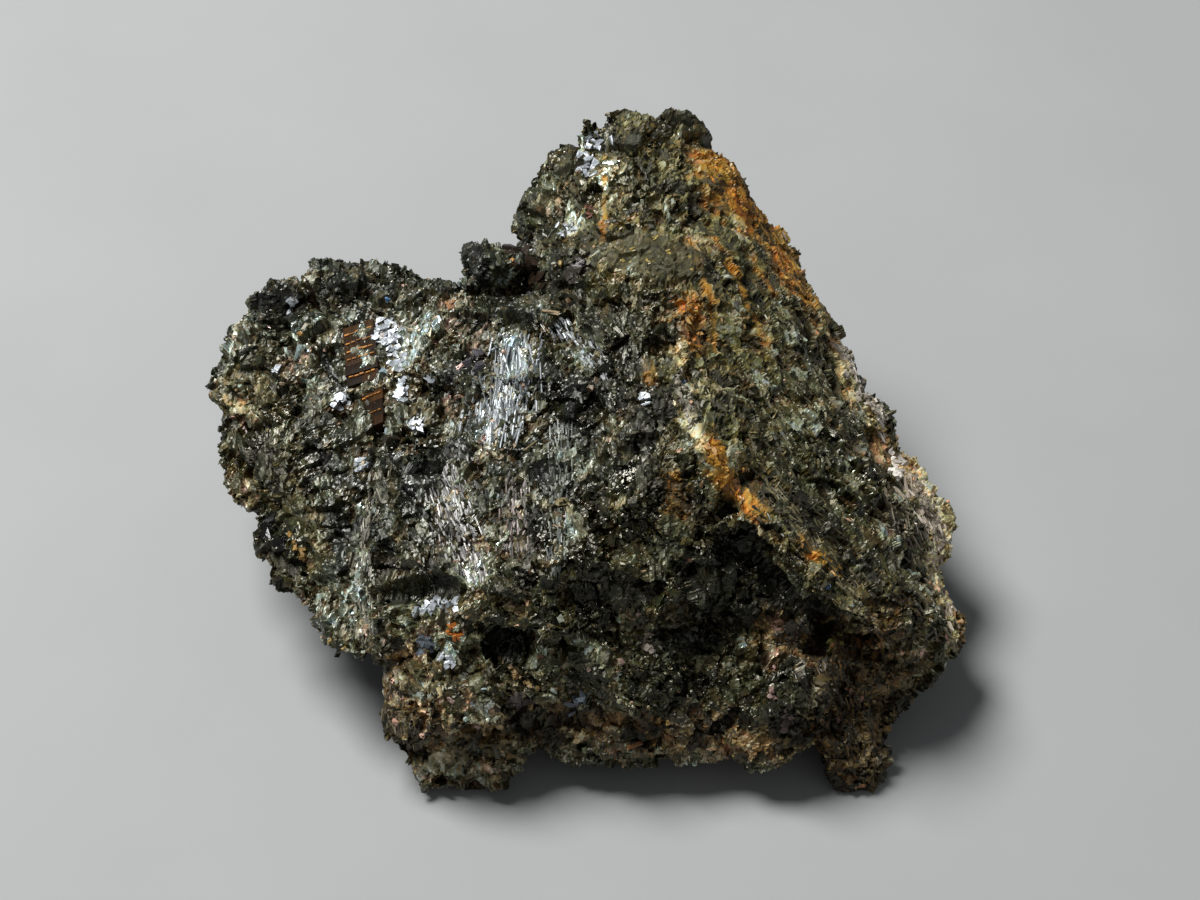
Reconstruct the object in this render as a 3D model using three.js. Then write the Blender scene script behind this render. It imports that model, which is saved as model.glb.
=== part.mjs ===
// A raw, unpolished lump of nuummite, broken out by hand: a flat left shoulder, a tall
// rear peak, a foliated right flank under a rusty ridge, and three small feet.
// Millimetres, +Z up, centred over the surface that it rests on at z = 0.

import * as THREE from "three";
import { ConvexHull } from "three/addons/math/ConvexHull.js";
import { ImprovedNoise } from "three/addons/math/ImprovedNoise.js";

// Driving dimensions
const LATTICE = 0.92; // spacing of the lattice that the surface is drawn through
const MARGIN = 2.0; // free space kept round the stone in the lattice
const JOIN = 0.35; // width over which two fracture blocks run into each other
const SWELL = 0.02; // makes up for what the relief takes off the edges
const FOOT_FLAT = 0.3; // anything closer to the surface than this is worn flat on it

// Grain: interlocking crystals, each broken on its own tilted face. Size is their spacing,
// lift how far one stands above the next, and tilt the slope of its face.
const COARSE_GRAIN = { size: 3.6, lift: 0.22, tilt: 0.15, seed: 11 };
const FINE_GRAIN = { size: 1.9, lift: 0.17, tilt: 0.22, seed: 47 };
const WANDER = 0.7; // share of the spacing over which a crystal's middle is strewn
const LUMP = { size: 6.5, lift: 0.2, seed: 3.7 }; // broad swells of the whole surface

// Foliation of the right flank: sheets that break off in long steps down its slope
const SHEET = {
  thickness: 1.15,
  lift: 0.3,
  normal: [0.79, 0.06, 0.6],
  wander: 6.0,
  seed: 83,
  from: 4.5,
  to: 7.5,
};

// Fracture blocks. Each is the convex solid between its corners.
const BLOCKS = {
  leftShoulder: [
    [-16.9, 2.6, 7.3],
    [-16.4, 4.6, 7.9],
    [-14.9, 6.4, 8.4],
    [-11.8, 7.0, 8.8],
    [-8.2, 6.2, 9.0],
    [-5.6, 6.6, 9.6],
    [-2.5, 4.7, 10.8],
    [0.0, 1.4, 11.6],
    [3.6, -3.4, 12.4],
    [3.9, -6.4, 11.8],
    [0.0, -9.9, 9.8],
    [-5.7, -10.9, 7.6],
    [-9.1, -11.2, 5.2],
    [-11.6, -9.5, 5.0],
    [-15.0, -4.4, 5.8],
    [-16.2, -0.6, 6.4],
    [-12.5, 3.0, 3.2],
    [-9.5, 5.8, 3.0],
    [-4.0, 6.5, 2.0],
    [-11.0, -6.0, 2.8],
    [-7.0, -9.5, 2.2],
    [2.0, -6.0, 2.0],
  ],
  peak: [
    [0.2, 10.8, 14.5],
    [1.0, 11.6, 15.0],
    [4.0, 11.4, 14.3],
    [5.1, 10.2, 13.7],
    [4.1, 1.8, 13.6],
    [3.7, -1.3, 13.2],
    [2.1, -4.9, 12.2],
    [-0.8, 1.4, 11.8],
    [0.4, 3.7, 13.0],
    [-2.7, 5.0, 10.8],
    [-3.2, 8.8, 11.4],
    [-2.3, 10.4, 13.0],
    [2.5, 13.0, 7.0],
    [-4.7, 8.2, 2.5],
    [3.6, 12.6, 1.5],
    [8.2, 9.2, 1.2],
    [-3.0, 5.0, 0.0],
    [5.0, 6.0, 0.0],
    [1.0, 10.4, 0.0],
  ],
  rightFlank: [
    [5.1, 10.4, 13.9],
    [7.2, 9.7, 11.2],
    [10.6, 4.8, 8.0],
    [12.9, 0.4, 5.6],
    [14.3, -3.1, 4.3],
    [15.0, -8.5, 3.0],
    [13.7, -9.6, 2.7],
    [12.2, -9.6, 6.6],
    [10.7, -11.2, 7.5],
    [8.0, -10.1, 9.1],
    [5.9, -8.7, 10.7],
    [4.1, -6.8, 12.1],
    [3.7, -1.3, 13.2],
    [8.8, 7.7, 1.5],
    [11.5, 2.0, 1.2],
    [13.2, -4.0, 1.2],
    [12.0, -8.5, 0.8],
    [4.5, -5.5, 1.5],
    [3.0, 6.0, 1.0],
  ],
  frontWall: [
    [3.6, -2.6, 13.0],
    [2.2, -7.2, 11.6],
    [-1.0, -9.9, 9.6],
    [-5.2, -10.9, 7.9],
    [-8.3, -11.0, 6.2],
    [-5.0, -11.8, 5.4],
    [-1.6, -11.9, 5.0],
    [1.6, -11.3, 5.0],
    [5.0, -10.3, 5.0],
    [9.0, -9.8, 4.4],
    [8.6, -8.3, 7.4],
    [5.0, -7.6, 9.6],
    [-6.0, -6.0, 3.0],
    [6.0, -4.0, 3.0],
  ],
  frontFoot: [
    [-2.8, -11.9, 5.4],
    [0.6, -11.7, 5.6],
    [3.2, -10.9, 6.0],
    [6.4, -10.4, 5.4],
    [9.4, -10.7, 4.8],
    [10.6, -11.0, 3.6],
    [8.0, -13.7, 2.4],
    [6.2, -14.2, 1.4],
    [3.6, -13.3, 2.2],
    [0.6, -13.5, 3.4],
    [0.0, -13.9, 1.2],
    [-3.0, -12.9, 3.6],
    [-2.4, -13.2, 1.0],
    [7.0, -12.5, 0.8],
    [-2.0, -5.0, 1.2],
    [8.0, -5.0, 1.2],
  ],
  lowerLeft: [
    [-9.1, -10.9, 4.3],
    [-7.8, -10.6, 6.4],
    [-5.2, -11.4, 6.9],
    [-2.4, -12.3, 5.6],
    [-1.6, -13.0, 3.6],
    [-3.2, -13.5, 2.2],
    [-4.8, -13.9, 0.8],
    [-7.0, -13.9, 0.4],
    [-7.8, -13.2, 1.8],
    [-8.6, -12.9, 2.8],
    [-7.0, -12.9, 0.0],
    [-4.4, -13.3, 0.0],
    [-3.6, -9.5, 0.0],
    [-7.4, -9.8, 0.0],
    [-7.7, -8.0, 4.0],
  ],
  rightFoot: [
    [9.2, -10.3, 5.6],
    [12.3, -9.4, 4.6],
    [13.4, -9.6, 2.6],
    [11.6, -11.6, 1.2],
    [10.5, -14.1, 0.0],
    [9.4, -14.4, 0.0],
    [8.7, -13.2, 2.4],
    [8.5, -11.9, 4.0],
    [8.2, -10.0, 0.0],
    [11.8, -9.6, 0.0],
    [9.0, -8.0, 5.0],
  ],
  underside: [
    [-9.0, -4.0, 2.7],
    [-8.0, 2.0, 2.7],
    [-4.2, 6.6, 1.8],
    [2.0, 10.0, 0.7],
    [7.0, 9.0, 1.0],
    [11.2, 2.5, 1.2],
    [12.2, -6.0, 1.1],
    [7.5, -11.5, 0.8],
    [-2.0, -11.5, 1.0],
    [-6.5, -8.0, 2.0],
    [-6.0, -5.0, 5.0],
    [6.0, -6.0, 5.0],
    [6.0, 5.0, 5.0],
    [-3.0, 4.0, 5.0],
  ],
};

// Larger single crystals that stand out of the fracture surfaces: centre, size and turn
const CRYSTALS = [
  { at: [-11.0, 6.4, 8.9], size: [2.4, 1.8, 2.2], turn: [0.1, 0.3, 0.4] },
  { at: [-13.2, 5.9, 8.3], size: [1.8, 1.6, 2.0], turn: [-0.3, 0.2, -0.5] },
  { at: [-14.9, 4.3, 7.4], size: [1.6, 1.6, 1.8], turn: [0.1, -0.4, 0.2] },
  { at: [-8.8, 5.7, 8.7], size: [2.0, 1.6, 1.9], turn: [0.3, 0.1, 0.9] },
  { at: [-4.6, 6.6, 9.8], size: [2.6, 1.9, 2.2], turn: [-0.5, 0.15, 0.3] },
  { at: [-1.0, 9.5, 12.4], size: [1.8, 1.7, 1.7], turn: [0.2, 0.5, 0.3] },
  { at: [1.2, 11.0, 13.9], size: [1.6, 1.5, 1.7], turn: [0.1, 0.3, 0.6] },
  { at: [3.7, 11.0, 13.5], size: [1.7, 1.6, 1.7], turn: [0.3, -0.2, 0.2] },
  { at: [11.4, 2.8, 4.4], size: [2.4, 2.8, 2.4], turn: [0.0, -0.3, 0.3] },
  { at: [-5.4, -12.6, 4.6], size: [3.2, 2.0, 2.2], turn: [0.9, 0.1, 0.15] },
  { at: [1.0, -12.0, 4.7], size: [2.6, 1.9, 1.9], turn: [0.9, 0.5, -0.5] },
  { at: [6.6, -11.7, 4.2], size: [3.4, 2.0, 2.0], turn: [0.8, -0.5, 0.4] },
  { at: [-1.6, -10.8, 7.2], size: [2.4, 1.4, 2.2], turn: [0.5, 0.5, 0.2] },
  { at: [2.9, -9.9, 7.4], size: [2.0, 1.6, 2.6], turn: [0.6, -0.4, 0.5] },
];

// Hollows where a crystal or a splinter has broken out: centre, size and turn
const HOLLOWS = [
  { at: [-6.7, -9.4, 8.4], size: [2.8, 1.3, 1.4], turn: [-0.3, 0.15, 0.1] },
  { at: [-3.6, -11.9, 6.2], size: [2.8, 1.2, 1.6], turn: [-0.4, 0.6, -0.5] },
  { at: [1.8, -13.6, 0.2], size: [5.2, 3.2, 1.5], turn: [0.1, 0.0, 0.1] },
  { at: [10.3, -10.2, 5.6], size: [2.6, 1.2, 1.2], turn: [0.3, 0.5, 0.5] },
  { at: [4.0, -14.5, 1.4], size: [3.2, 1.5, 2.0], turn: [-0.5, 0.1, 0.0] },
];

const hullOf = (corners) =>
  new ConvexHull().setFromPoints(corners.map((c) => new THREE.Vector3(...c)));
const boxCorners = ({ at, size, turn }) => {
  const rotation = new THREE.Euler(...turn);
  const corners = [];
  for (let c = 0; c < 8; c++)
    corners.push(
      new THREE.Vector3((c & 1) - 0.5, ((c >> 1) & 1) - 0.5, (c >> 2) - 0.5)
        .multiply(new THREE.Vector3(...size))
        .applyEuler(rotation)
        .add(new THREE.Vector3(...at))
        .toArray(),
    );
  return corners;
};
const solidCorners = [...Object.values(BLOCKS), ...CRYSTALS.map(boxCorners)];
const solidHulls = solidCorners.map(hullOf);
const hollowHulls = HOLLOWS.map(boxCorners).map(hullOf);

const AXES = [[1, 0, 0], [0, 1, 0], [0, 0, 1]];

// Signed distance, negative inside, from a point to a block's farthest face plane
function blockDistance(hull, p) {
  let most = -Infinity;
  for (const face of hull.faces) most = Math.max(most, face.distanceToPoint(p));
  return most;
}

// The nearer of two surfaces, rounded over JOIN where they meet
function blendNearer(a, b) {
  const share = Math.max(JOIN - Math.abs(a - b), 0) / JOIN;
  return Math.min(a, b) - (share * share * JOIN) / 4;
}

// A repeatable number from 0 to 1 for a whole-numbered place
const SCATTER = [127.1, 311.7, 74.7, 19.19];
const SCATTER_SCALE = 43758.5453;
function chance(i, j, k, seed) {
  const phase = i * SCATTER[0] + j * SCATTER[1] + k * SCATTER[2] + seed * SCATTER[3];
  const scattered = Math.sin(phase) * SCATTER_SCALE;
  return scattered - Math.floor(scattered);
}
const around = (...numbers) => chance(...numbers) - 0.5;

// Height of the broken face of the crystal that a point belongs to. Its middle, its slope
// and its height are drawn apart.
const SLOPE_DRAW = 5;
const HEIGHT_DRAW = 8;
function crystalFace(p, { size, lift, tilt, seed }) {
  const base = [p.x, p.y, p.z].map((v) => Math.floor(v / size));
  let nearest = Infinity;
  let height = 0;
  for (let di = -1; di <= 1; di++)
    for (let dj = -1; dj <= 1; dj++)
      for (let dk = -1; dk <= 1; dk++) {
        const cell = [base[0] + di, base[1] + dj, base[2] + dk];
        const away = [p.x, p.y, p.z].map(
          (v, axis) => v - (cell[axis] + 0.5 + WANDER * around(...cell, seed + axis)) * size,
        );
        const distance = Math.hypot(...away);
        if (distance >= nearest) continue;
        nearest = distance;
        height = around(...cell, seed + HEIGHT_DRAW) * lift * 2;
        away.forEach((v, axis) => {
          height += v * around(...cell, seed + SLOPE_DRAW + axis) * tilt * 2;
        });
      }
  return height;
}

const perlin = new ImprovedNoise();
const sheetNormal = new THREE.Vector3(...SHEET.normal).normalize();

// Step from one foliation sheet to the next
function sheetStep(p) {
  const wander = perlin.noise(p.x / SHEET.wander, p.y / SHEET.wander, p.z / SHEET.wander);
  const layer = Math.floor(p.dot(sheetNormal) / SHEET.thickness + wander);
  return around(layer, 0, 0, SHEET.seed) * SHEET.lift * 2;
}

// The blocks, crystals and hollows as a field: negative inside, zero on their surface
function bulk(p) {
  const filled = solidHulls.map((hull) => blockDistance(hull, p)).reduce(blendNearer);
  const emptied = Math.min(...hollowHulls.map((hull) => blockDistance(hull, p)));
  return Math.max(filled - SWELL, -emptied);
}

// The whole stone as a field, cut off by the surface that it rests on
function stone(p) {
  const lump = perlin.noise(p.x / LUMP.size, p.y / LUMP.size, p.z / LUMP.size + LUMP.seed);
  const relief =
    lump * LUMP.lift +
    crystalFace(p, COARSE_GRAIN) +
    crystalFace(p, FINE_GRAIN) +
    sheetStep(p) * THREE.MathUtils.smoothstep(p.x, SHEET.from, SHEET.to);
  return Math.max(bulk(p) - relief, -p.z);
}

// The way out of the stone at a point near its surface
const PROBE = 0.05;
function outward(p) {
  const rise = AXES.map((axis) => {
    const step = new THREE.Vector3(...axis).multiplyScalar(PROBE);
    const [ahead, behind] = [p.clone().add(step), p.clone().sub(step)];
    return Math.max(bulk(ahead), -ahead.z) - Math.max(bulk(behind), -behind.z);
  });
  return new THREE.Vector3(...rise).normalize();
}

// The lattice of field values round the stone
const reach = new THREE.Box3().setFromPoints(
  solidCorners.flat().map((c) => new THREE.Vector3(...c)),
).expandByScalar(MARGIN);
const counts = ["x", "y", "z"].map((k) => Math.ceil((reach.max[k] - reach.min[k]) / LATTICE) + 1);
const [nx, ny, nz] = counts;
const index = (i, j, k) => i + nx * (j + ny * k);
const place = (i, j, k) =>
  new THREE.Vector3(i, j, k).multiplyScalar(LATTICE).add(reach.min);
const field = new Float64Array(nx * ny * nz);
for (let k = 0; k < nz; k++)
  for (let j = 0; j < ny; j++)
    for (let i = 0; i < nx; i++) field[index(i, j, k)] = stone(place(i, j, k));

// Fills the corner where two solid lattice points touch only across a diagonal, so that
// the surface never meets itself along an edge or at a point
const OPPOSITE_CORNERS = [
  [[0, 0, 0], [1, 1, 1]],
  [[1, 0, 0], [0, 1, 1]],
  [[0, 1, 0], [1, 0, 1]],
  [[0, 0, 1], [1, 1, 0]],
];
const FILLED = -0.05; // just inside the surface
function fillDiagonals() {
  let changed = false;
  const fill = (n) => {
    field[n] = FILLED;
    changed = true;
  };
  for (let k = 0; k < nz - 1; k++)
    for (let j = 0; j < ny - 1; j++)
      for (let i = 0; i < nx - 1; i++) {
        for (let a = 0; a < 3; a++) {
          const [u, v] = [AXES[a], AXES[(a + 1) % 3]];
          const n00 = index(i, j, k);
          const n10 = index(i + u[0], j + u[1], k + u[2]);
          const n01 = index(i + v[0], j + v[1], k + v[2]);
          const n11 = index(i + u[0] + v[0], j + u[1] + v[1], k + u[2] + v[2]);
          const solid = [n00, n10, n01, n11].map((n) => field[n] < 0);
          if (solid[0] && solid[3] && !solid[1] && !solid[2]) fill(n10);
          if (!solid[0] && !solid[3] && solid[1] && solid[2]) fill(n00);
        }
        for (const [da, db] of OPPOSITE_CORNERS) {
          const a = index(i + da[0], j + da[1], k + da[2]);
          const b = index(i + db[0], j + db[1], k + db[2]);
          let inside = 0;
          for (let c = 0; c < 8; c++)
            inside += field[index(i + (c & 1), j + ((c >> 1) & 1), k + (c >> 2))] < 0;
          if (inside === 2 && field[a] < 0 && field[b] < 0)
            fill(index(i + db[0], j + da[1], k + da[2]));
          if (inside === 6 && field[a] >= 0 && field[b] >= 0) fill(a);
        }
      }
  return changed;
}
while (fillDiagonals());

// Fills every gap between the blocks that no way leads into from outside
const open = new Uint8Array(field.length);
const reached = [index(0, 0, 0)];
open[reached[0]] = 1;
const strides = AXES.map((axis) => index(...axis));
while (reached.length) {
  const here = reached.pop();
  for (const next of strides.flatMap((stride) => [here - stride, here + stride])) {
    if (next < 0 || next >= field.length || open[next] || field[next] < 0) continue;
    open[next] = 1;
    reached.push(next);
  }
}
field.forEach((value, n) => {
  if (value >= 0 && !open[n]) field[n] = FILLED;
});

// The point closest to the planes through the crossings, held near their middle, so that
// an edge between two faces stays sharp
const HOLD = 0.4;
function onEdge(crossings) {
  const middle = new THREE.Vector3();
  crossings.forEach((c) => middle.addScaledVector(c, 1 / crossings.length));
  const pull = new THREE.Vector3();
  const spread = [HOLD, 0, 0, 0, HOLD, 0, 0, 0, HOLD];
  for (const c of crossings) {
    const n = outward(c);
    pull.addScaledVector(n, n.dot(c.clone().sub(middle)));
    const parts = n.toArray();
    spread.forEach((_, s) => (spread[s] += parts[s % 3] * parts[Math.floor(s / 3)]));
  }
  const solve = new THREE.Matrix3().fromArray(spread).invert();
  return middle.add(pull.applyMatrix3(solve));
}

// One surface point for each lattice cell that the surface passes through
const cellPoint = new Map();
const positions = [];
function pointInCell(i, j, k) {
  const key = index(i, j, k);
  if (cellPoint.has(key)) return cellPoint.get(key);
  const crossings = [];
  for (let c = 0; c < 8; c++)
    for (let a = 0; a < 3; a++) {
      const from = [i + (c & 1), j + ((c >> 1) & 1), k + (c >> 2)];
      if ((c >> a) & 1) continue;
      const to = from.map((v, axis) => v + AXES[a][axis]);
      const [f, t] = [field[index(...from)], field[index(...to)]];
      if (f < 0 === t < 0) continue;
      crossings.push(place(...from).lerp(place(...to), f / (f - t)));
    }
  const point = onEdge(crossings);
  point.clamp(place(i, j, k), place(i + 1, j + 1, k + 1));
  if (point.z < FOOT_FLAT) point.z = 0;
  cellPoint.set(key, positions.length / 3);
  positions.push(point.x, point.y, point.z);
  return cellPoint.get(key);
}

// Two triangles round each lattice edge that crosses the surface
const triangles = [];
for (let k = 1; k < nz - 1; k++)
  for (let j = 1; j < ny - 1; j++)
    for (let i = 1; i < nx - 1; i++)
      for (let a = 0; a < 3; a++) {
        const [inHere, inNext] = [
          field[index(i, j, k)] < 0,
          field[index(i + AXES[a][0], j + AXES[a][1], k + AXES[a][2])] < 0,
        ];
        if (inHere === inNext) continue;
        const [u, v] = [AXES[(a + 1) % 3], AXES[(a + 2) % 3]];
        const ring = [[0, 0], [1, 0], [1, 1], [0, 1]].map(([s, t]) =>
          pointInCell(i - s * u[0] - t * v[0], j - s * u[1] - t * v[1], k - s * u[2] - t * v[2]),
        );
        if (!inHere) ring.reverse();
        triangles.push(ring[0], ring[1], ring[2], ring[0], ring[2], ring[3]);
      }

const geometry = new THREE.BufferGeometry();
geometry.setAttribute("position", new THREE.Float32BufferAttribute(positions, 3));
geometry.setIndex(triangles);
geometry.computeBoundingBox();
const centre = geometry.boundingBox.getCenter(new THREE.Vector3());
geometry.translate(-centre.x, -centre.y, -geometry.boundingBox.min.z);
geometry.computeVertexNormals();

const rock = new THREE.Mesh(
  geometry,
  new THREE.MeshStandardMaterial({ color: 0x2b2a27, roughness: 0.55, metalness: 0.0 }),
);
rock.name = "nuummite_rock";

const nuummite = new THREE.Group();
nuummite.add(rock);
export default nuummite;
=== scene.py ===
"""Raw nuummite: a broken lump of interlocking amphibole, dressed grain by grain.

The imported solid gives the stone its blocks, ledges and hollows. A fine skin takes its place,
and small grains, prisms, fibres, crystal faces and a banded lath are set on that skin.
"""

import math
from collections import namedtuple

import bmesh
import bpy
import numpy as np
from bpy.props import FloatProperty, FloatVectorProperty, IntProperty, PointerProperty
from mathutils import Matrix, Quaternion, Vector
from mathutils.bvhtree import BVHTree


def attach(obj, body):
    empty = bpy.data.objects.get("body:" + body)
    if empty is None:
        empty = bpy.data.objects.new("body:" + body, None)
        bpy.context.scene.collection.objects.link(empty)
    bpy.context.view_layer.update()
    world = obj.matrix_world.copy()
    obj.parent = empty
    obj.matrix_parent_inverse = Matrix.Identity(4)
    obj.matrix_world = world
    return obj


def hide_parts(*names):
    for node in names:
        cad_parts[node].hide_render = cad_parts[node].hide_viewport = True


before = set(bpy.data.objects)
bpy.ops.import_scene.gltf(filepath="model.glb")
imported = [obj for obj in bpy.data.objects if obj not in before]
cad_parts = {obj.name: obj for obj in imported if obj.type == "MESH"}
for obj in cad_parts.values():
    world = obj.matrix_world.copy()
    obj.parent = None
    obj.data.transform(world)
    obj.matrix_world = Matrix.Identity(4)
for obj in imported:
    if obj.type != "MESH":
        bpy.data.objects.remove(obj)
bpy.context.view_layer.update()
BODY = "root"
ROCK = "nuummite_rock"

bl_info = {
    "name": "Raw Nuummite",
    "version": (1, 0, 0),
    "blender": (4, 5, 0),
    "location": "View3D > Sidebar > Nuummite",
    "description": "Dresses a lump of raw nuummite in grains, fibres, mirror faces and rust",
    "category": "Object",
}

MM = 0.001
SKIN = "rock_skin"
PHOTO_WIDTH, PHOTO_HEIGHT = 1200, 900
SENSOR_WIDTH = 36.0

# The point that the photograph is centred on
AIM = Vector((0.752, 0.528, 6.0)) * MM
# Streaks of the fibres and grains, as the direction they run in on the stone
SHOULDER_STREAK = Vector((-0.08, -0.97, -0.2)).normalized()
FLANK_STREAK = Vector((0.50, -0.63, -0.60)).normalized()
FLANK_NORMAL = Vector((0.79, 0.06, 0.60)).normalized()

# The key light and the fill light, as seen from the stone
KEY_DIRECTION = Vector((-0.4, 0.2, 0.9))
KEY_DISTANCE = 260 * MM
KEY_WIDTH = 130 * MM
FILL_DIRECTION = Vector((0.5, -0.7, 0.5))
FILL_DISTANCE = 300 * MM
FILL_WIDTH = 300 * MM
SKY = (0.92, 0.95, 1.0, 1.0)
FLOOR_DARK, FLOOR_LIGHT = (0.34, 0.35, 0.345, 1), (0.38, 0.39, 0.385, 1)

# Places on the stone are pixels of the photograph, looked up on the skin, or, on the sides that
# it doesn't show, x, y and z in millimetres. Widths are in millimetres on the stone, and weight
# is how strong a seam is in its middle.
Seam = namedtuple("Seam", "path width weight", defaults=[1.0])
RUST_SEAMS = [
    Seam([(735, 152), (758, 188), (770, 226), (784, 256), (798, 289)], 1.2),
    Seam([(690, 303), (693, 340)], 0.55),
    Seam([(706, 438), (715, 460)], 0.5),
    Seam([(722, 472), (735, 492), (762, 508)], 0.5),
    Seam([(806, 542), (822, 556), (838, 567)], 0.4),
    Seam([(672, 478), (680, 505)], 0.45),
    Seam([(604, 178), (602, 235)], 0.14),
    Seam([(645, 362), (650, 378)], 0.25),
    Seam([(716, 236), (736, 272), (750, 305), (768, 345)], 0.2, 0.75),
    Seam([(700, 262), (712, 300), (716, 345)], 0.2, 0.75),
    Seam([(738, 226), (756, 262), (776, 292)], 0.18, 0.7),
    Seam([(690, 235), (700, 262)], 0.2, 0.65),
    Seam([(5, 13, 9), (6, 12, 7), (7, 12, 4)], 0.55, 0.75),
    Seam([(-9, 9, 5), (-5, 11, 6), (-3, 12, 4)], 0.35, 0.8),
    Seam([(11, 9, 2), (13, 5, 1)], 0.35, 0.75),
]
OLIVE_SEAMS = [
    Seam([(735, 200), (742, 260), (735, 310), (722, 380)], 2.2),
    Seam([(790, 250), (815, 310), (835, 350)], 1.5),
    Seam([(610, 235), (700, 240)], 1.6),
    Seam([(722, 400), (760, 500), (830, 560), (880, 590)], 1.2),
    Seam([(640, 130), (690, 180)], 1.2),
    Seam([(775, 530), (820, 575), (862, 612)], 0.5, 0.9),
    Seam([(3, 13, 13), (8, 11, 7), (10, 9, 3)], 1.8),
    Seam([(-12, 6, 3), (-8, 9, 2)], 1.4),
]
PALE_SEAMS = [
    Seam([(840, 346), (860, 376), (874, 404), (886, 436)], 0.45, 1.3),
    Seam([(886, 436), (910, 466), (932, 500), (948, 530)], 0.9, 1.3),
    Seam([(936, 522), (943, 560), (948, 596), (957, 628)], 0.8, 1.25),
    Seam([(682, 345), (684, 380), (688, 420), (700, 445)], 0.3),
    Seam([(218, 390), (240, 410)], 0.45, 0.6),
]
BROWN_SEAMS = [
    Seam([(850, 640), (862, 710), (850, 785)], 2.2, 1.2),
    Seam([(390, 690), (430, 740), (520, 735)], 1.9, 0.7),
    Seam([(765, 620), (790, 640)], 0.7),
    Seam([(560, 720), (700, 735), (780, 745)], 0.9),
]
# Broad places where the stone is more olive than silvery
WARM_GROUNDS = [
    Seam([(760, 300), (830, 460), (880, 590)], 5.0),
    Seam([(640, 150), (650, 240), (740, 200)], 3.2),
    Seam([(500, 700), (640, 680), (760, 660)], 4.0),
    Seam([(700, 540), (640, 600)], 3.0),
    Seam([(400, 720), (520, 740)], 2.6),
    Seam([(850, 640), (860, 770)], 3.0),
    Seam([(235, 400), (280, 560)], 1.4),
    Seam([(2, 14, 10), (10, 9, 5)], 4.0),
    Seam([(-14, 2, 2), (-6, 10, 2)], 2.5),
]
PALE_CLUSTERS = [
    Seam([(590, 128), (592, 175)], 0.45),
    Seam([(612, 165), (618, 192)], 0.3),
    Seam([(566, 222), (570, 238)], 0.35),
    Seam([(374, 326), (392, 345), (404, 392)], 0.35),
    Seam([(332, 402), (346, 400)], 0.3),
    Seam([(358, 455), (364, 470)], 0.25),
    Seam([(222, 395), (245, 412)], 0.5, 0.4),
    Seam([(512, 350), (505, 400), (482, 435)], 0.75),
    Seam([(520, 430), (535, 445)], 0.4),
    Seam([(572, 325), (592, 365)], 0.45),
    Seam([(448, 482), (455, 530), (472, 575)], 0.7),
    Seam([(520, 482), (526, 508)], 0.35),
    Seam([(500, 540), (515, 560)], 0.35),
    Seam([(412, 608), (432, 606)], 0.35),
    Seam([(362, 505), (358, 560), (364, 640)], 0.4),
    Seam([(440, 662), (455, 660)], 0.35),
    Seam([(390, 690), (410, 705)], 0.5),
    Seam([(465, 725), (505, 705)], 0.4),
    Seam([(683, 345), (684, 410), (697, 440)], 0.3),
    Seam([(800, 400), (820, 450)], 0.6, 0.4),
    Seam([(560, 700), (590, 690)], 0.35),
    Seam([(640, 395), (646, 402)], 0.25),
    Seam([(275, 365), (282, 375)], 0.25),
    Seam([(545, 500), (570, 530)], 0.35),
    Seam([(395, 690), (440, 720), (500, 700)], 1.4, 0.75),
    Seam([(425, 630), (470, 640)], 0.7, 0.6),
    Seam([(585, 650), (620, 680)], 0.4, 0.8),
    Seam([(765, 620), (800, 655)], 0.5, 0.7),
    Seam([(620, 560), (670, 600)], 0.8, 0.35),
    Seam([(250, 330), (300, 330)], 0.6, 0.5),
    Seam([(290, 345), (420, 350)], 2.2, 0.8),
    Seam([(760, 350), (840, 470)], 2.6, 0.24),
    Seam([(872, 462), (886, 500), (902, 570)], 0.6, 0.6),
    Seam([(470, 700), (545, 690)], 0.7, 0.6),
    Seam([(400, 740), (440, 775), (500, 768)], 0.9, 0.6),
    Seam([(-2, 12, 9), (0, 13, 6), (1, 13, 3)], 0.5, 0.8),
    Seam([(-11, 8, 6), (-8, 10, 4)], 0.6, 0.7),
    Seam([(-14, 5, 3), (-12, 7, 4)], 0.4, 0.9),
    Seam([(9, 11, 3), (12, 8, 1)], 0.6, 0.6),
]
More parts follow.
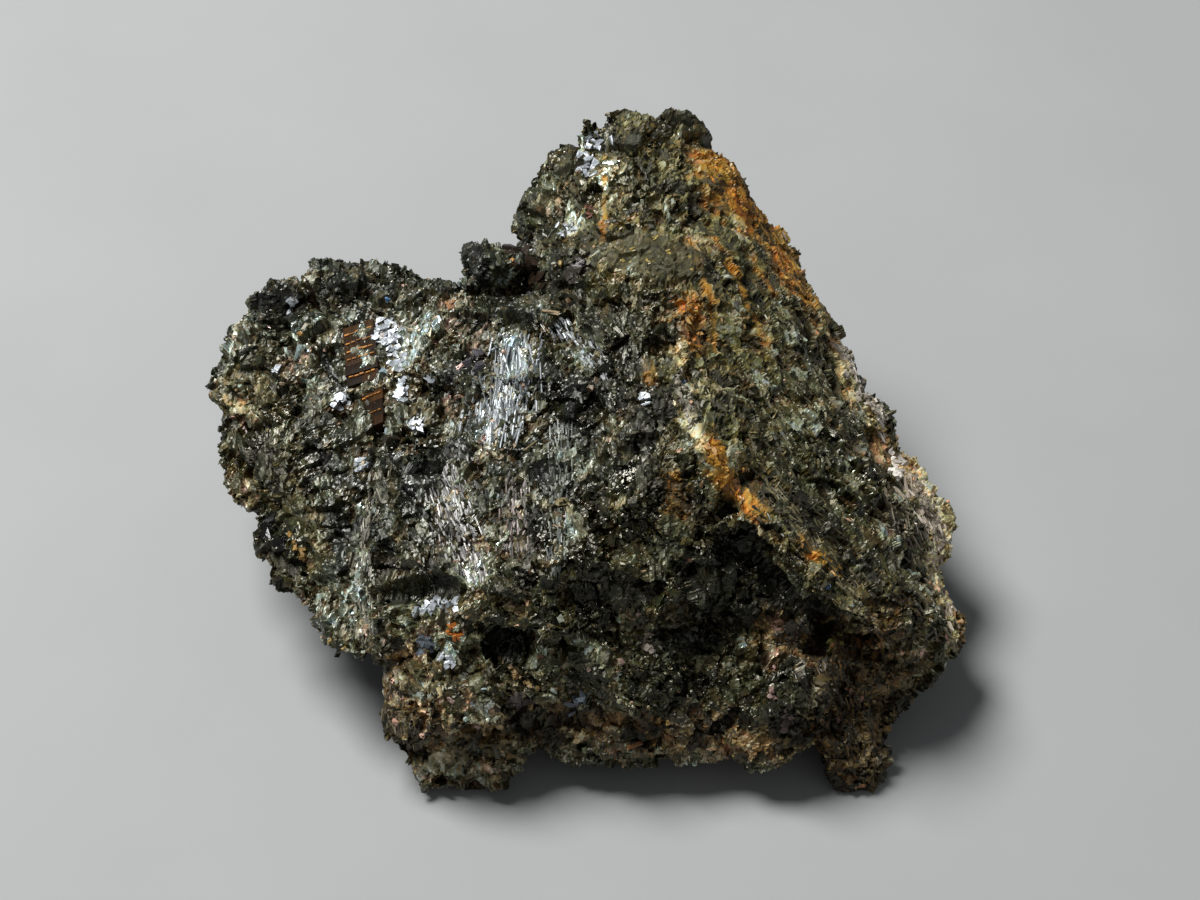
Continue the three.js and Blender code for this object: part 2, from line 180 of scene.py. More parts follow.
# Darker places: small clusters of dark grains, and painted shade where faces turn from the key
# light, in the recess under the crest, in grooves and in pockets low on the front
DARK_GRAINS_AND_PAINTED_SHADE = [
    Seam([(268, 298), (290, 305)], 0.5),
    Seam([(325, 350), (328, 370)], 0.45),
    Seam([(250, 452), (262, 462)], 0.4),
    Seam([(262, 520), (285, 550)], 0.6),
    Seam([(328, 505), (335, 520)], 0.4),
    Seam([(385, 465), (440, 472)], 0.45),
    Seam([(425, 570), (452, 590)], 0.6),
    Seam([(562, 380), (600, 400), (585, 425)], 0.7),
    Seam([(515, 250), (540, 285)], 0.5),
    Seam([(565, 265), (582, 270)], 0.45),
    Seam([(625, 340), (650, 400)], 0.5),
    Seam([(482, 628), (505, 655)], 0.55),
    Seam([(412, 505), (425, 515)], 0.35),
    Seam([(680, 495), (735, 560), (745, 600)], 1.1),
    Seam([(590, 585), (690, 590)], 0.7),
    Seam([(800, 505), (850, 550)], 1.0, 0.8),
    Seam([(770, 570), (830, 620)], 0.8),
    Seam([(560, 640), (600, 700)], 0.6),
    Seam([(650, 640), (680, 740)], 0.7),
    Seam([(710, 700), (790, 705)], 0.7),
    Seam([(430, 400), (440, 410)], 0.35),
    Seam([(640, 170), (690, 200)], 0.5),
    Seam([(893, 398), (900, 432)], 0.5),
    Seam([(440, 430), (560, 520)], 2.6, 0.42),
    Seam([(330, 450), (440, 540)], 2.2, 0.45),
    Seam([(590, 350), (650, 450)], 2.2, 0.42),
    Seam([(850, 690), (860, 770)], 1.6, 0.35),
    Seam([(898, 519), (926, 576), (950, 628)], 0.22, 1.6),
    Seam([(670, 600), (705, 612)], 0.7, 1.0),
    Seam([(785, 678), (805, 690)], 0.6, 1.0),
    Seam([(655, 690), (680, 697)], 0.6, 0.9),
    Seam([(580, 606), (605, 612)], 0.5, 0.9),
    Seam([(-6, 10, 8), (-5, 11, 3)], 0.7, 0.9),
    Seam([(4, 13, 5), (3, 13, 2)], 0.8, 0.8),
    Seam([(-15, 1, 3), (-14, -1, 2)], 0.6, 0.8),
    Seam([(13, 5, 6), (14, 3, 2)], 0.6, 0.8),
]
SILVER_SEAMS = [
    Seam([(512, 350), (505, 400), (492, 438)], 0.7),
    Seam([(572, 325), (592, 365)], 0.35),
]
FILM_PATCHES = [
    Seam([(632, 248), (682, 257)], 0.85),
]

# Patches of crystal faces that catch the light, as their corners in the photograph
MIRROR_PATCHES = [
    [(370, 322), (391, 317), (404, 331), (394, 345), (376, 342)],
    [(386, 338), (397, 335), (406, 355), (400, 371), (388, 362)],
    [(397, 380), (407, 376), (413, 393), (405, 405), (397, 397)],
    [(331, 398), (344, 395), (351, 403), (342, 410), (332, 406)],
    [(350, 459), (361, 456), (369, 467), (358, 472)],
    [(289, 300), (297, 301), (296, 315), (288, 313)],
    [(275, 367), (283, 366), (284, 374), (275, 375)],
    [(410, 420), (420, 420), (421, 430), (411, 431)],
    [(636, 395), (647, 395), (649, 405), (638, 406)],
    [(578, 152), (590, 130), (601, 128), (598, 158), (594, 177), (578, 173)],
    [(412, 603), (438, 598), (449, 606), (436, 614), (414, 612)],
    [(452, 600), (462, 599), (462, 610), (453, 611)],
    [(429, 375), (434, 375), (433, 383), (428, 382)],
    [(556, 226), (572, 219), (577, 230), (560, 238)],
    [(438, 656), (455, 653), (459, 664), (441, 668)],
]
# The mirror faces' pale blue is partly painted highlight, and the fade paints them darker towards a
# patch's rim as painted fall-off of that highlight
MIRROR_BLUE_AND_HIGHLIGHT = (0.74, 0.8, 0.85)
MIRROR_SIZE = 0.36
MIRROR_LEAN = 0.3
MIRROR_JITTER = 0.06
MIRROR_HIGHLIGHT_FADE = 0.5
# How many layers of faces cover a patch, and the corners and thickness of a face, the latter as
# a share of its size. Here and below, a reach is how far a slope is averaged over, and it, a
# lift, a depth and a width are in millimetres.
PLATE_LAYERS = 3.4
PLATE_CORNERS = 5
PLATE_THICKNESS = 0.6
PLATE_LIFT = 0.04
PLATE_REACH = 0.25
# Other crystals: corners, colour, roughness, size of their faces in millimetres, and how far
# those turn towards the light
Patch = namedtuple("Patch", "corners colour rough face lean", defaults=[0.0])
BLUE_GREY = (0.13, 0.155, 0.18)
CRYSTALS = [
    Patch([(465, 351), (485, 347), (490, 360), (478, 369), (466, 366)],
          (0.085, 0.078, 0.09), 0.25, 0.7),
    Patch([(506, 244), (520, 242), (541, 268), (544, 286), (531, 287), (513, 264)],
          (0.03, 0.018, 0.01), 0.35, 0.55),
    Patch([(562, 262), (578, 258), (588, 270), (580, 284), (566, 279)],
          (0.045, 0.036, 0.026), 0.3, 0.5),
    Patch([(766, 699), (771, 681), (778, 696)], (0.38, 0.25, 0.21), 0.45, 0.3),
    Patch([(780, 712), (789, 706), (793, 731), (784, 733)], (0.22, 0.15, 0.12), 0.5, 0.3),
    Patch([(765, 618), (776, 613), (787, 620), (783, 631), (770, 628)],
          (0.26, 0.14, 0.085), 0.6, 0.28),
    Patch([(786, 622), (812, 650), (820, 668), (808, 664), (790, 642)],
          (0.06, 0.05, 0.033), 0.4, 0.45),
    Patch([(642, 640), (649, 635), (653, 652), (645, 656)], (0.2, 0.155, 0.11), 0.5, 0.3),
    Patch([(562, 704), (580, 694), (588, 699), (570, 716)], BLUE_GREY, 0.35, 0.35),
    Patch([(488, 703), (512, 694), (531, 698), (529, 705), (500, 711)],
          (0.15, 0.125, 0.11), 0.4, 0.4),
    Patch([(414, 640), (424, 636), (434, 652), (430, 659), (418, 654)], BLUE_GREY, 0.35, 0.4),
    Patch([(817, 676), (823, 663), (833, 682), (831, 701), (820, 694)],
          (0.13, 0.095, 0.035), 0.45, 0.5),
    Patch([(825, 638), (836, 631), (847, 633), (841, 643), (830, 648)],
          (0.36, 0.32, 0.1), 0.45, 0.35),
    Patch([(447, 628), (455, 623), (461, 636), (456, 643), (450, 640)],
          (0.85, 0.27, 0.04), 0.45, 0.26),
    Patch([(499, 658), (520, 672), (539, 690), (534, 691), (515, 677)],
          (0.34, 0.22, 0.08), 0.5, 0.22),
    Patch([(728, 303), (734, 299), (739, 304), (734, 310)], (0.085, 0.083, 0.058), 0.5, 0.4),
    Patch([(258, 512), (282, 520), (288, 528), (268, 526)], (0.008, 0.008, 0.007), 0.15, 0.6),
    Patch([(262, 531), (284, 540), (292, 556), (276, 552)], (0.008, 0.008, 0.007), 0.15, 0.6),
    Patch([(288, 533), (294, 533), (307, 558), (302, 561)], (0.45, 0.26, 0.07), 0.45, 0.22),
    Patch([(444, 303), (455, 301), (457, 307), (446, 309)], (0.42, 0.2, 0.07), 0.5, 0.24),
    Patch([(682, 340), (689, 342), (688, 358), (681, 356)], (0.5, 0.42, 0.2), 0.5, 0.2),
    Patch([(675, 372), (683, 370), (691, 402), (697, 424), (690, 428), (680, 404)],
          (0.5, 0.45, 0.35), 0.5, 0.22),
    Patch([(838, 350), (846, 348), (872, 384), (888, 416), (883, 424), (868, 402)],
          (0.55, 0.49, 0.4), 0.55, 0.24),
    # A near-white face, its colour partly a painted highlight
    Patch([(884, 454), (895, 446), (907, 458), (904, 476), (893, 480), (886, 468)],
          (0.95, 0.88, 0.78), 0.5, 0.36, 0.4),
    Patch([(906, 476), (916, 474), (938, 512), (948, 545), (940, 548), (925, 512)],
          (0.42, 0.36, 0.28), 0.6, 0.18),
    Patch([(584, 205), (592, 207), (591, 217), (586, 215)], (0.2, 0.06, 0.025), 0.5, 0.26),
    Patch([(706, 444), (722, 442), (726, 458), (716, 468), (708, 462)],
          (0.55, 0.27, 0.03), 0.5, 0.26),
    Patch([(724, 478), (738, 480), (740, 494), (728, 492)], (0.4, 0.2, 0.08), 0.55, 0.26),
]
# Small bright flecks: places, width in millimetres and colour
Flecks = namedtuple("Flecks", "places size colour")
FLECKS = [
    Flecks([(605, 160), (612, 175), (668, 724), (345, 648), (330, 641), (377, 426), (560, 262)],
           0.22, (0.6, 0.4, 0.1)),
    Flecks([(680, 452), (745, 470), (690, 318), (742, 500), (512, 262), (300, 332)],
           0.18, (0.55, 0.28, 0.06)),
    Flecks([(622, 662), (640, 612), (452, 700), (478, 728), (590, 668), (246, 430)],
           0.24, (0.42, 0.28, 0.23)),
    Flecks([(684, 382), (828, 587), (388, 300)], 0.1, (0.2, 0.4, 0.75)),
    Flecks([(775, 668), (848, 690), (862, 700), (838, 720), (540, 655), (690, 560)],
           0.2, (0.3, 0.1, 0.05)),
    Flecks([(640, 225), (655, 238), (632, 250), (668, 252), (648, 262), (622, 262)],
           0.14, (0.5, 0.38, 0.1)),
]
# Sheaves of fibres: the line down their middle, their width and length in pixels, their
# count, their darkest and palest colour, how metallic the palest are, and the way they run
# where that isn't along the line
Sheaf = namedtuple("Sheaf", "path width length count dark bright metal run", defaults=[0.0, None])
FIBRE_SHEAVES = [
    Sheaf([(520, 348), (507, 395), (490, 432)], 42, 26, 420,
          (0.05, 0.06, 0.06), (0.8, 0.86, 0.88), metal=0.4, run=(-0.09, 1)),
    Sheaf([(560, 322), (592, 360)], 24, 14, 110,
          (0.08, 0.085, 0.085), (0.7, 0.74, 0.74), metal=0.4, run=(0.4, 0.9)),
    Sheaf([(597, 345), (606, 379)], 8, 14, 24,
          (0.1, 0.1, 0.1), (0.5, 0.5, 0.48)),
    Sheaf([(446, 472), (458, 530), (474, 578)], 38, 16, 230,
          (0.08, 0.075, 0.07), (0.7, 0.68, 0.64), metal=0.3),
    Sheaf([(516, 480), (512, 545)], 30, 15, 90,
          (0.06, 0.05, 0.045), (0.5, 0.41, 0.36), run=(0.0, 1)),
    Sheaf([(564, 436), (556, 560)], 26, 18, 130,
          (0.03, 0.035, 0.028), (0.34, 0.37, 0.3), run=(0.05, 1)),
    Sheaf([(376, 478), (362, 560), (366, 645)], 20, 16, 170,
          (0.05, 0.045, 0.028), (0.46, 0.43, 0.32)),
    Sheaf([(392, 680), (400, 745)], 30, 14, 110,
          (0.05, 0.04, 0.025), (0.44, 0.36, 0.24)),
    Sheaf([(780, 500), (850, 580)], 34, 18, 150,
          (0.024, 0.022, 0.01), (0.26, 0.22, 0.11)),
    Sheaf([(896, 500), (955, 628)], 40, 20, 150,
          (0.07, 0.06, 0.035), (0.5, 0.42, 0.29)),
    Sheaf([(841, 346), (860, 376), (874, 404), (886, 436)], 9, 22, 130,
          (0.3, 0.26, 0.2), (0.85, 0.78, 0.68)),
    Sheaf([(908, 480), (930, 522), (944, 566), (954, 612)], 20, 24, 190,
          (0.26, 0.21, 0.15), (0.74, 0.65, 0.53)),
    Sheaf([(740, 380), (800, 470)], 90, 12, 130,
          (0.03, 0.03, 0.014), (0.36, 0.34, 0.2)),
    Sheaf([(765, 300), (850, 430)], 70, 12, 130,
          (0.03, 0.03, 0.014), (0.4, 0.38, 0.24)),
    Sheaf([(800, 640), (835, 700)], 36, 16, 90,
          (0.02, 0.015, 0.009), (0.17, 0.12, 0.06)),
    Sheaf([(850, 650), (862, 780)], 34, 14, 130,
          (0.03, 0.018, 0.007), (0.24, 0.14, 0.04)),
    Sheaf([(742, 160), (770, 215), (800, 285)], 26, 16, 150,
          (0.1, 0.05, 0.012), (0.5, 0.27, 0.05)),
]
# How much longer than it looks a fibre may be, past which it would bridge a step of the stone
STEEPEST = 2.0
FIBRE_WIDTHS = (0.04, 0.1)
FIBRE_DEPTH = 0.12
FIBRE_REACH = 0.35
# The brown lath crossed by orange lines: its two lengths, each from end to end, with their
# widths in millimetres, and the places of the lines down it
LADDER_LENGTHS = [
    ([(358, 324), (364, 382)], 1.35),
    ([(369, 376), (377, 430)], 0.95),
]
LADDER_LINES = [
    (358, 332), (358, 341), (360, 349), (361, 357), (364, 374), (370, 384), (372, 396), (375, 412)
]
LADDER_BROWN = (0.014, 0.007, 0.0025)
LADDER_ORANGE = (0.6, 0.24, 0.03)
LADDER_PATCH = (0.075, 0.032, 0.008)
LADDER_REACH = 0.9
# Blocks down each length of the lath, and parts of each line across it
LADDER_STEPS = 6
BLOCK_LIFT = 0.06
BLOCK_DEPTH = 0.4
LINE_PARTS = 5
LINE_LIFT = 0.07
LINE_DEPTH = 0.08
LINE_WIDTHS = (0.04, 0.09)

# The hollows below also darken the skin's colour by their depth, as painted shade.
# Hollows between the grains: middle in the photograph, half sizes and depth in millimetres, and
# how far they all reach into the stone and out of it
HOLLOW_REACH = 1.5
Hollow = namedtuple("Hollow", "pixel half depth")
HOLLOWS = [
    Hollow((415, 588), (1.7, 0.5), 0.9),
    Hollow((510, 645), (0.9, 0.7), 0.7),
    Hollow((740, 540), (0.9, 0.9), 0.7),
    Hollow((795, 590), (1.2, 0.6), 0.7),
    Hollow((770, 670), (0.8, 0.5), 0.6),
    Hollow((700, 640), (0.9, 0.5), 0.5),
    Hollow((320, 355), (0.5, 0.5), 0.5),
    Hollow((430, 470), (0.6, 0.4), 0.45),
    Hollow((580, 400), (0.8, 0.6), 0.5),
    Hollow((545, 470), (0.6, 0.5), 0.45),
    Hollow((640, 440), (0.7, 0.4), 0.4),
    Hollow((350, 520), (0.6, 0.5), 0.45),
    Hollow((270, 380), (0.4, 0.4), 0.4),
]

# Crystals that stand out of the skin at its rims: place in the photograph, size, height and
# turn, in millimetres and radians
Standing = namedtuple("Standing", "pixel size height turn")
STANDING_CRYSTALS = [
    Standing((688, 124), (1.0, 0.8, 0.9), 0.5, 0.5),
    Standing((626, 114), (0.8, 0.9, 0.7), 0.3, -0.4),
    Standing((660, 128), (0.6, 0.6, 0.5), 0.25, 0.9),
    Standing((564, 158), (0.7, 0.8, 0.6), 0.35, 0.3),
    Standing((534, 200), (0.7, 0.6, 0.7), 0.35, -0.7),
    Standing((500, 246), (0.9, 0.7, 0.8), 0.35, 0.2),
    Standing((474, 250), (0.6, 0.6, 0.9), 0.5, 0.0),
    Standing((444, 288), (0.7, 0.5, 0.6), 0.3, 0.8),
    Standing((412, 296), (0.6, 0.5, 0.6), 0.3, -0.3),
    Standing((384, 290), (0.7, 0.5, 0.5), 0.25, 0.5),
    Standing((344, 276), (0.9, 0.7, 0.8), 0.35, 0.3),
    Standing((318, 280), (0.5, 0.5, 0.6), 0.35, -0.5),
    Standing((286, 292), (0.7, 0.6, 0.7), 0.35, 0.6),
    Standing((264, 308), (0.8, 0.7, 0.6), 0.35, -0.2),
    Standing((242, 330), (0.6, 0.6, 0.6), 0.3, 0.4),
    Standing((300, 318), (0.6, 0.5, 0.5), 0.3, 0.9),
    Standing((252, 356), (0.6, 0.5, 0.5), 0.25, 0.1),
    Standing((272, 532), (1.1, 0.6, 0.6), 0.3, 0.3),
    Standing((566, 272), (0.8, 0.5, 0.6), 0.3, -0.4),
    Standing((526, 264), (0.8, 1.0, 0.7), 0.25, 0.6),
    Standing((540, 350), (0.5, 0.8, 0.5), 0.2, 0.2),
    Standing((420, 480), (0.8, 0.4, 0.5), 0.2, -0.2),
    Standing((600, 440), (0.8, 0.6, 0.5), 0.2, 0.7),
    Standing((790, 640), (1.2, 0.7, 0.6), 0.3, 0.8),
    Standing((826, 684), (0.5, 1.0, 0.5), 0.35, -0.2),
    Standing((590, 662), (1.0, 0.6, 0.5), 0.3, -0.5),
    Standing((470, 692), (1.0, 0.7, 0.5), 0.25, 0.2),
    Standing((700, 585), (0.9, 0.6, 0.5), 0.3, 0.4),
]


# Sizes and colours


def length_property(name, description, millimetres):
    return FloatProperty(
        name=name, description=description, default=millimetres * MM, unit="LENGTH"
    )


def number_property(name, description, default):
    return FloatProperty(name=name, description=description, default=default)


def colour_property(name, description, default):
    return FloatVectorProperty(
        name=name, description=description, default=default, subtype="COLOR"
    )


class StoneSkin(bpy.types.PropertyGroup):
    voxel: length_property("Voxel", "Fineness of the skin", 0.088)
    coarse_size: length_property("Coarse grain", "Spacing of the big grains", 1.3)
    coarse_lift: length_property("Coarse lift", "Relief of the big grains", 0.13)
    fine_size: length_property("Fine grain", "Spacing of the small grains", 0.46)
    fine_lift: length_property("Fine lift", "Relief of the small grains", 0.075)
    speck_size: length_property("Speck", "Spacing of the specks in a grain", 0.2)
    speck_lift: length_property("Speck lift", "Relief of the specks", 0.035)
    pit_share: number_property("Pits", "Share of the small grains that fell out", 0.07)
    pit_depth: length_property("Pit depth", "Depth of a lost grain's place", 0.22)
    inset: length_property("Inset", "How far the relief sits inside the solid", 0.1)
    tone: number_property("Tone", "Paler above 0, darker below", -0.12)
    glint_tilt: number_property("Glint tilt", "How far single crystal faces lean", 0.9)
    pieces: IntProperty(name="Pieces", description="Pieces that the skin is made in", default=5)


class StoneColours(bpy.types.PropertyGroup):
    black: colour_property("Black", "Darkest amphibole", (0.0042, 0.0048, 0.003))
    green: colour_property("Green", "Dark green amphibole", (0.0155, 0.0192, 0.009))
    brown: colour_property("Brown", "Bronze-brown grains", (0.05, 0.04, 0.0155))
    grey: colour_property("Grey", "Warm grey grains", (0.116, 0.119, 0.077))
    pale: colour_property("Pale", "Palest grains", (0.4, 0.37, 0.3))
    silver: colour_property("Silver", "Silvery fibres and faces", (0.66, 0.7, 0.71))
    olive: colour_property("Olive", "Olive weathering", (0.17, 0.142, 0.042))
    rust: colour_property("Rust", "Rust in the seams", (0.56, 0.27, 0.03))
    film: colour_property("Film", "Smooth film", (0.06, 0.054, 0.028))
    warmth: colour_property("Warmth", "Tint of the olive ground", (1.1, 1.02, 0.64))
    tan: colour_property("Tan", "Weathered right edge", (0.55, 0.45, 0.33))


class StoneGrains(bpy.types.PropertyGroup):
    density: number_property("Grains", "Grains of each kind on a square millimetre", 6.6)
    width: length_property("Width", "Mean width of a grain", 0.2)
    length: length_property("Length", "Mean length of a grain", 0.42)
    seed: IntProperty(name="Seed", description="Draw of the grains", default=5)


class StudioSetup(bpy.types.PropertyGroup):
    distance: length_property("Distance", "Camera to stone", 140)
    elevation: FloatProperty(
        name="Elevation", description="Camera height", default=math.radians(45), subtype="ANGLE"
    )
    lens: number_property("Lens", "Focal length in millimetres", 100.0)
    floor_size: length_property("Floor", "Width of the floor", 1200)
    key_power: number_property("Key", "Key light's power in watts", 1.0)
    fill_power: number_property("Fill", "Fill light's power in watts", 0.04)
    world: number_property("World", "Light from all round", 0.12)


def settings():
    return bpy.context.scene.nuummite


# Node trees


def add(tree, kind, inputs=None, **facts):
    """Adds a node. Its inputs are linked to sockets or set to values."""
    node = tree.nodes.new(kind)
    for name, value in facts.items():
        setattr(node, name, value)
    for key, value in (inputs or {}).items():
        if isinstance(value, bpy.types.NodeSocket):
            tree.links.new(value, node.inputs[key])
        else:
            node.inputs[key].default_value = value
    return node


def calc(tree, operation, *terms, clamp=False):
    """A Math node on numbers or sockets."""
    facts = {"operation": operation, "use_clamp": clamp}
    return add(tree, "ShaderNodeMath", dict(enumerate(terms)), **facts).outputs[0]


def vector_calc(tree, operation, *terms):
    """A Vector Math node. A scale goes to the socket of that name."""
    keys = (0, "Scale") if operation == "SCALE" else (0, 1, 2)
    node = add(tree, "ShaderNodeVectorMath", dict(zip(keys, terms)), operation=operation)
    return node.outputs["Value" if operation == "DOT_PRODUCT" else "Vector"]


def split(tree, vector):
    """The three numbers of a vector."""
    return add(tree, "ShaderNodeSeparateXYZ", {0: vector}).outputs


def centred(tree, draw):
    """A draw from 0 to 1 in each direction, as one from -0.5 to 0.5."""
    return vector_calc(tree, "SUBTRACT", draw, (0.5, 0.5, 0.5))


def blend(tree, factor, a, b):
    """Mixes two colours."""
    return add(tree, "ShaderNodeMix", {0: factor, 6: a, 7: b}, data_type="RGBA").outputs[2]


def ramp(tree, factor, stops):
    """A colour ramp of (position, colour) stops."""
    node = add(tree, "ShaderNodeValToRGB", {0: factor})
    elements = node.color_ramp.elements
    while len(elements) < len(stops):
        elements.new(1.0)
    for element, (position, colour) in zip(elements, stops):
        element.position = position
        element.color = (*colour, 1.0)
    return node.outputs["Color"]


def ramped(tree, value, low, high):
    """0 below low, 1 above high, and a straight rise between them."""
    return add(tree, "ShaderNodeMapRange", {0: value, 1: low, 2: high}).outputs[0]


def noise(tree, place, scale, detail):
    inputs = {"Vector": place, "Scale": scale, "Detail": detail}
    return add(tree, "ShaderNodeTexNoise", inputs).outputs


def voronoi(tree, place, scale):
    return add(tree, "ShaderNodeTexVoronoi", {"Vector": place, "Scale": scale}).outputs


def new_form(name, sizes):
    """A Geometry Nodes tree with a geometry in and out and named numbers for its sizes."""
    tree = bpy.data.node_groups.new(name, "GeometryNodeTree")
    tree.interface.new_socket("Geometry", in_out="INPUT", socket_type="NodeSocketGeometry")
    for size in sizes:
        tree.interface.new_socket(size, in_out="INPUT", socket_type="NodeSocketFloat")
    tree.interface.new_socket("Geometry", in_out="OUTPUT", socket_type="NodeSocketGeometry")
    return tree, tree.nodes.new("NodeGroupInput").outputs


def close_form(tree, geometry, material):
    """Ends a tree in real mesh with its material."""
    real = add(tree, "GeometryNodeRealizeInstances", {0: geometry}).outputs[0]
    dressed = add(tree, "GeometryNodeSetMaterial", {"Geometry": real, "Material": material})
    output = tree.nodes.new("NodeGroupOutput")
    tree.links.new(dressed.outputs[0], output.inputs[0])


def close_broken_form(tree, geometry, material):
    """Ends a tree in sharp-edged faces, none of them below what the stone lies on."""
    x, y, z = split(tree, position(tree))
    inputs = {0: x, 1: y, 2: calc(tree, "MAXIMUM", z, 0.0)}
    raised = add(tree, "ShaderNodeCombineXYZ", inputs).outputs[0]
    standing = moved(tree, geometry, Position=raised)
    inputs = {0: standing, "Shade Smooth": False}
    close_form(tree, add(tree, "GeometryNodeSetShadeSmooth", inputs).outputs[0], material)


def position(tree):
    return tree.nodes.new("GeometryNodeInputPosition").outputs[0]


def moved(tree, geometry, **inputs):
    """Points of a geometry moved by an Offset or to a Position."""
    return add(tree, "GeometryNodeSetPosition", {"Geometry": geometry, **inputs}).outputs[0]


def read(tree, name, kind="FLOAT"):
    """A named attribute inside Geometry Nodes."""
    kinds = {"data_type": kind}
    return add(tree, "GeometryNodeInputNamedAttribute", {"Name": name}, **kinds).outputs[0]


def store(tree, geometry, name, value, domain="POINT", kind="FLOAT"):
    """Stores a named attribute inside Geometry Nodes."""
    inputs = {"Geometry": geometry, "Name": name, "Value": value}
    kinds = {"data_type": kind, "domain": domain}
    return add(tree, "GeometryNodeStoreNamedAttribute", inputs, **kinds).outputs[0]


def draw_number(tree, low, high, seed):
    """A random number for each element."""
    inputs = {2: low, 3: high, "Seed": seed}
    return add(tree, "FunctionNodeRandomValue", inputs, data_type="FLOAT").outputs[1]


def draw_vector(tree, seed):
    """A random vector for each element, from -1 to 1 in each direction."""
    inputs = {0: (-1, -1, -1), 1: (1, 1, 1), "Seed": seed}
    return add(tree, "FunctionNodeRandomValue", inputs, data_type="FLOAT_VECTOR").outputs[0]


# Objects and meshes


def put(name, data):
    """A new object in the scene."""
    thing = bpy.data.objects.new(name, data)
    bpy.context.scene.collection.objects.link(thing)
    return thing


def grow(name, source, tree, sizes):
    """A new plain mesh: what the tree makes of the source mesh."""
    carrier = put(name, source.data)
    modifier = carrier.modifiers.new("Form", "NODES")
    modifier.node_group = tree
    for item in tree.interface.items_tree:
        if item.in_out == "INPUT" and item.name in sizes:
            modifier[item.identifier] = float(sizes[item.name])
    graph = bpy.context.evaluated_depsgraph_get()
    grown = bpy.data.meshes.new_from_object(
        carrier.evaluated_get(graph), preserve_all_data_layers=True, depsgraph=graph
    )
    carrier.modifiers.clear()
    carrier.data = grown
    grown.name = name
    return carrier


def mesh_points(mesh):
    flat = np.empty(len(mesh.vertices) * 3, np.float32)
    mesh.vertices.foreach_get("co", flat)
    return flat.reshape(-1, 3).astype(float)


def mesh_normals(mesh):
    flat = np.empty(len(mesh.vertices) * 3, np.float32)
    mesh.vertex_normals.foreach_get("vector", flat)
    return flat.reshape(-1, 3).astype(float)


def write_number(mesh, name, values):
    attribute = mesh.attributes.new(name, "FLOAT", "POINT")
    attribute.data.foreach_set("value", values.astype(np.float32))


def write_vector(mesh, name, values):
    attribute = mesh.attributes.new(name, "FLOAT_VECTOR", "POINT")
    attribute.data.foreach_set("vector", values.astype(np.float32).ravel())


def settle(piece):
    """Makes a finished piece ride with the stone and say its triangles."""
    corners = np.empty(len(piece.data.polygons), np.int32)
    piece.data.polygons.foreach_get("loop_total", corners)
    print(piece.name, int((corners - 2).sum()), "triangles")
    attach(piece, BODY)


# Places on the stone


def camera_place():
    """Where the camera stands, with its right and up directions."""
    studio = settings().studio
    away = Vector((0.0, -math.cos(studio.elevation), math.sin(studio.elevation)))
    return AIM + away * studio.distance, Vector((1, 0, 0)), away.cross(Vector((1, 0, 0)))


def pixel_size():
    """Tangent of the angle that one pixel of the photograph covers."""
    return SENSOR_WIDTH / settings().studio.lens / PHOTO_WIDTH


def pixel_shift(pixel):
    """How far a pixel lies from the middle of the photograph, at a distance of 1."""
    _, right, up = camera_place()
    across = (pixel[0] - PHOTO_WIDTH / 2) * pixel_size()
    down = (pixel[1] - PHOTO_HEIGHT / 2) * pixel_size()
    return right * across - up * down


def pixel_ray(pixel):
    """Direction from the camera through a pixel of the photograph."""
    forward = (AIM - camera_place()[0]).normalized()
    return (forward + pixel_shift(pixel)).normalized()


class Surface:
    """The skin of the stone as something to look up places on."""

    def __init__(self, stone):
        work = bmesh.new()
        work.from_mesh(stone.data)
        self.tree = BVHTree.FromBMesh(work)
        work.free()

    def seen(self, pixel):
        """Point and normal of the skin under a pixel of the photograph."""
        return self.tree.ray_cast(camera_place()[0], pixel_ray(pixel))[:2]

    def mean_normal(self, point, reach):
        """The skin's mean direction outward round a point."""
        found = self.tree.find_nearest_range(point, reach)
        return sum((normal for _, normal, _, _ in found), Vector((0, 0, 1e-6))).normalized()

    def near(self, place):
        """The skin under a pixel, or the closest skin where the pixel just misses the stone.

        A place with three numbers is in millimetres instead.
        """
        if len(place) == 3:
            return self.tree.find_nearest(Vector(place) * MM)[:2]
        point, normal = self.seen(place)
        if point:
            return point, normal
        spot = AIM + pixel_shift(place) * settings().studio.distance
        return self.tree.find_nearest(spot)[:2]


def distance_to_path(points, path):
    """Distance from each point to a line through the path's points."""
    nearest = np.full(len(points), np.inf)
    for start, end in zip(path[:-1], path[1:]):
        along = end - start
        share = np.clip((points - start) @ along / max(along @ along, 1e-12), 0, 1)
        reach = np.linalg.norm(points - start - share[:, None] * along, axis=1)
        nearest = np.minimum(nearest, reach)
    return nearest


def seam_strength(points, seams, surface):
    """How strongly each point belongs to a family of seams: 1 in the middle, 0 outside."""
    strength = np.zeros(len(points))
    for seam in seams:
        path = [np.array(surface.near(place)[0]) for place in seam.path]
        share = 1 - distance_to_path(points, path) / (2 * seam.width * MM)
        strength = np.maximum(strength, np.clip(share, 0, 1) * seam.weight)
    return strength


# Materials


# How strongly amphibole bends light
AMPHIBOLE_IOR = 1.65
# Tints of single grains, from pinkish through yellow and green to bluish
TINTS = [
    (0.1, (1.35, 0.9, 0.85)), (0.3, (1.15, 1.02, 0.7)), (0.55, (1.0, 1.0, 0.95)),
    (0.75, (0.85, 1.05, 0.9)), (0.95, (0.84, 1.0, 1.16)),
]
ZONES = [
    ("olive", OLIVE_SEAMS), ("rust", RUST_SEAMS), ("pale", PALE_SEAMS), ("reddish", BROWN_SEAMS),
]
WHITE = (1, 1, 1, 1)
# Glare on silvery and on olive ground
COLD_GLARE, WARM_GLARE = (1.0, 1.0, 0.93, 1), (1.0, 0.95, 0.78, 1)
DOT_YELLOW = (0.36, 0.27, 0.07, 1)
# The levels of the skin's relief, and how much each of them and the fibres shift a point's tone
# and lean its face
LEVELS = ("crystal", "grain", "speck")
TONE_SHARES = (0.5, 0.52, 0.38, 0.3)
LEAN_SHARES = (0.5, 0.9, 0.7, 0.5)
# How much a bundle of fibres follows the streak of the stone round it
BUNDLE_PULL = 0.6


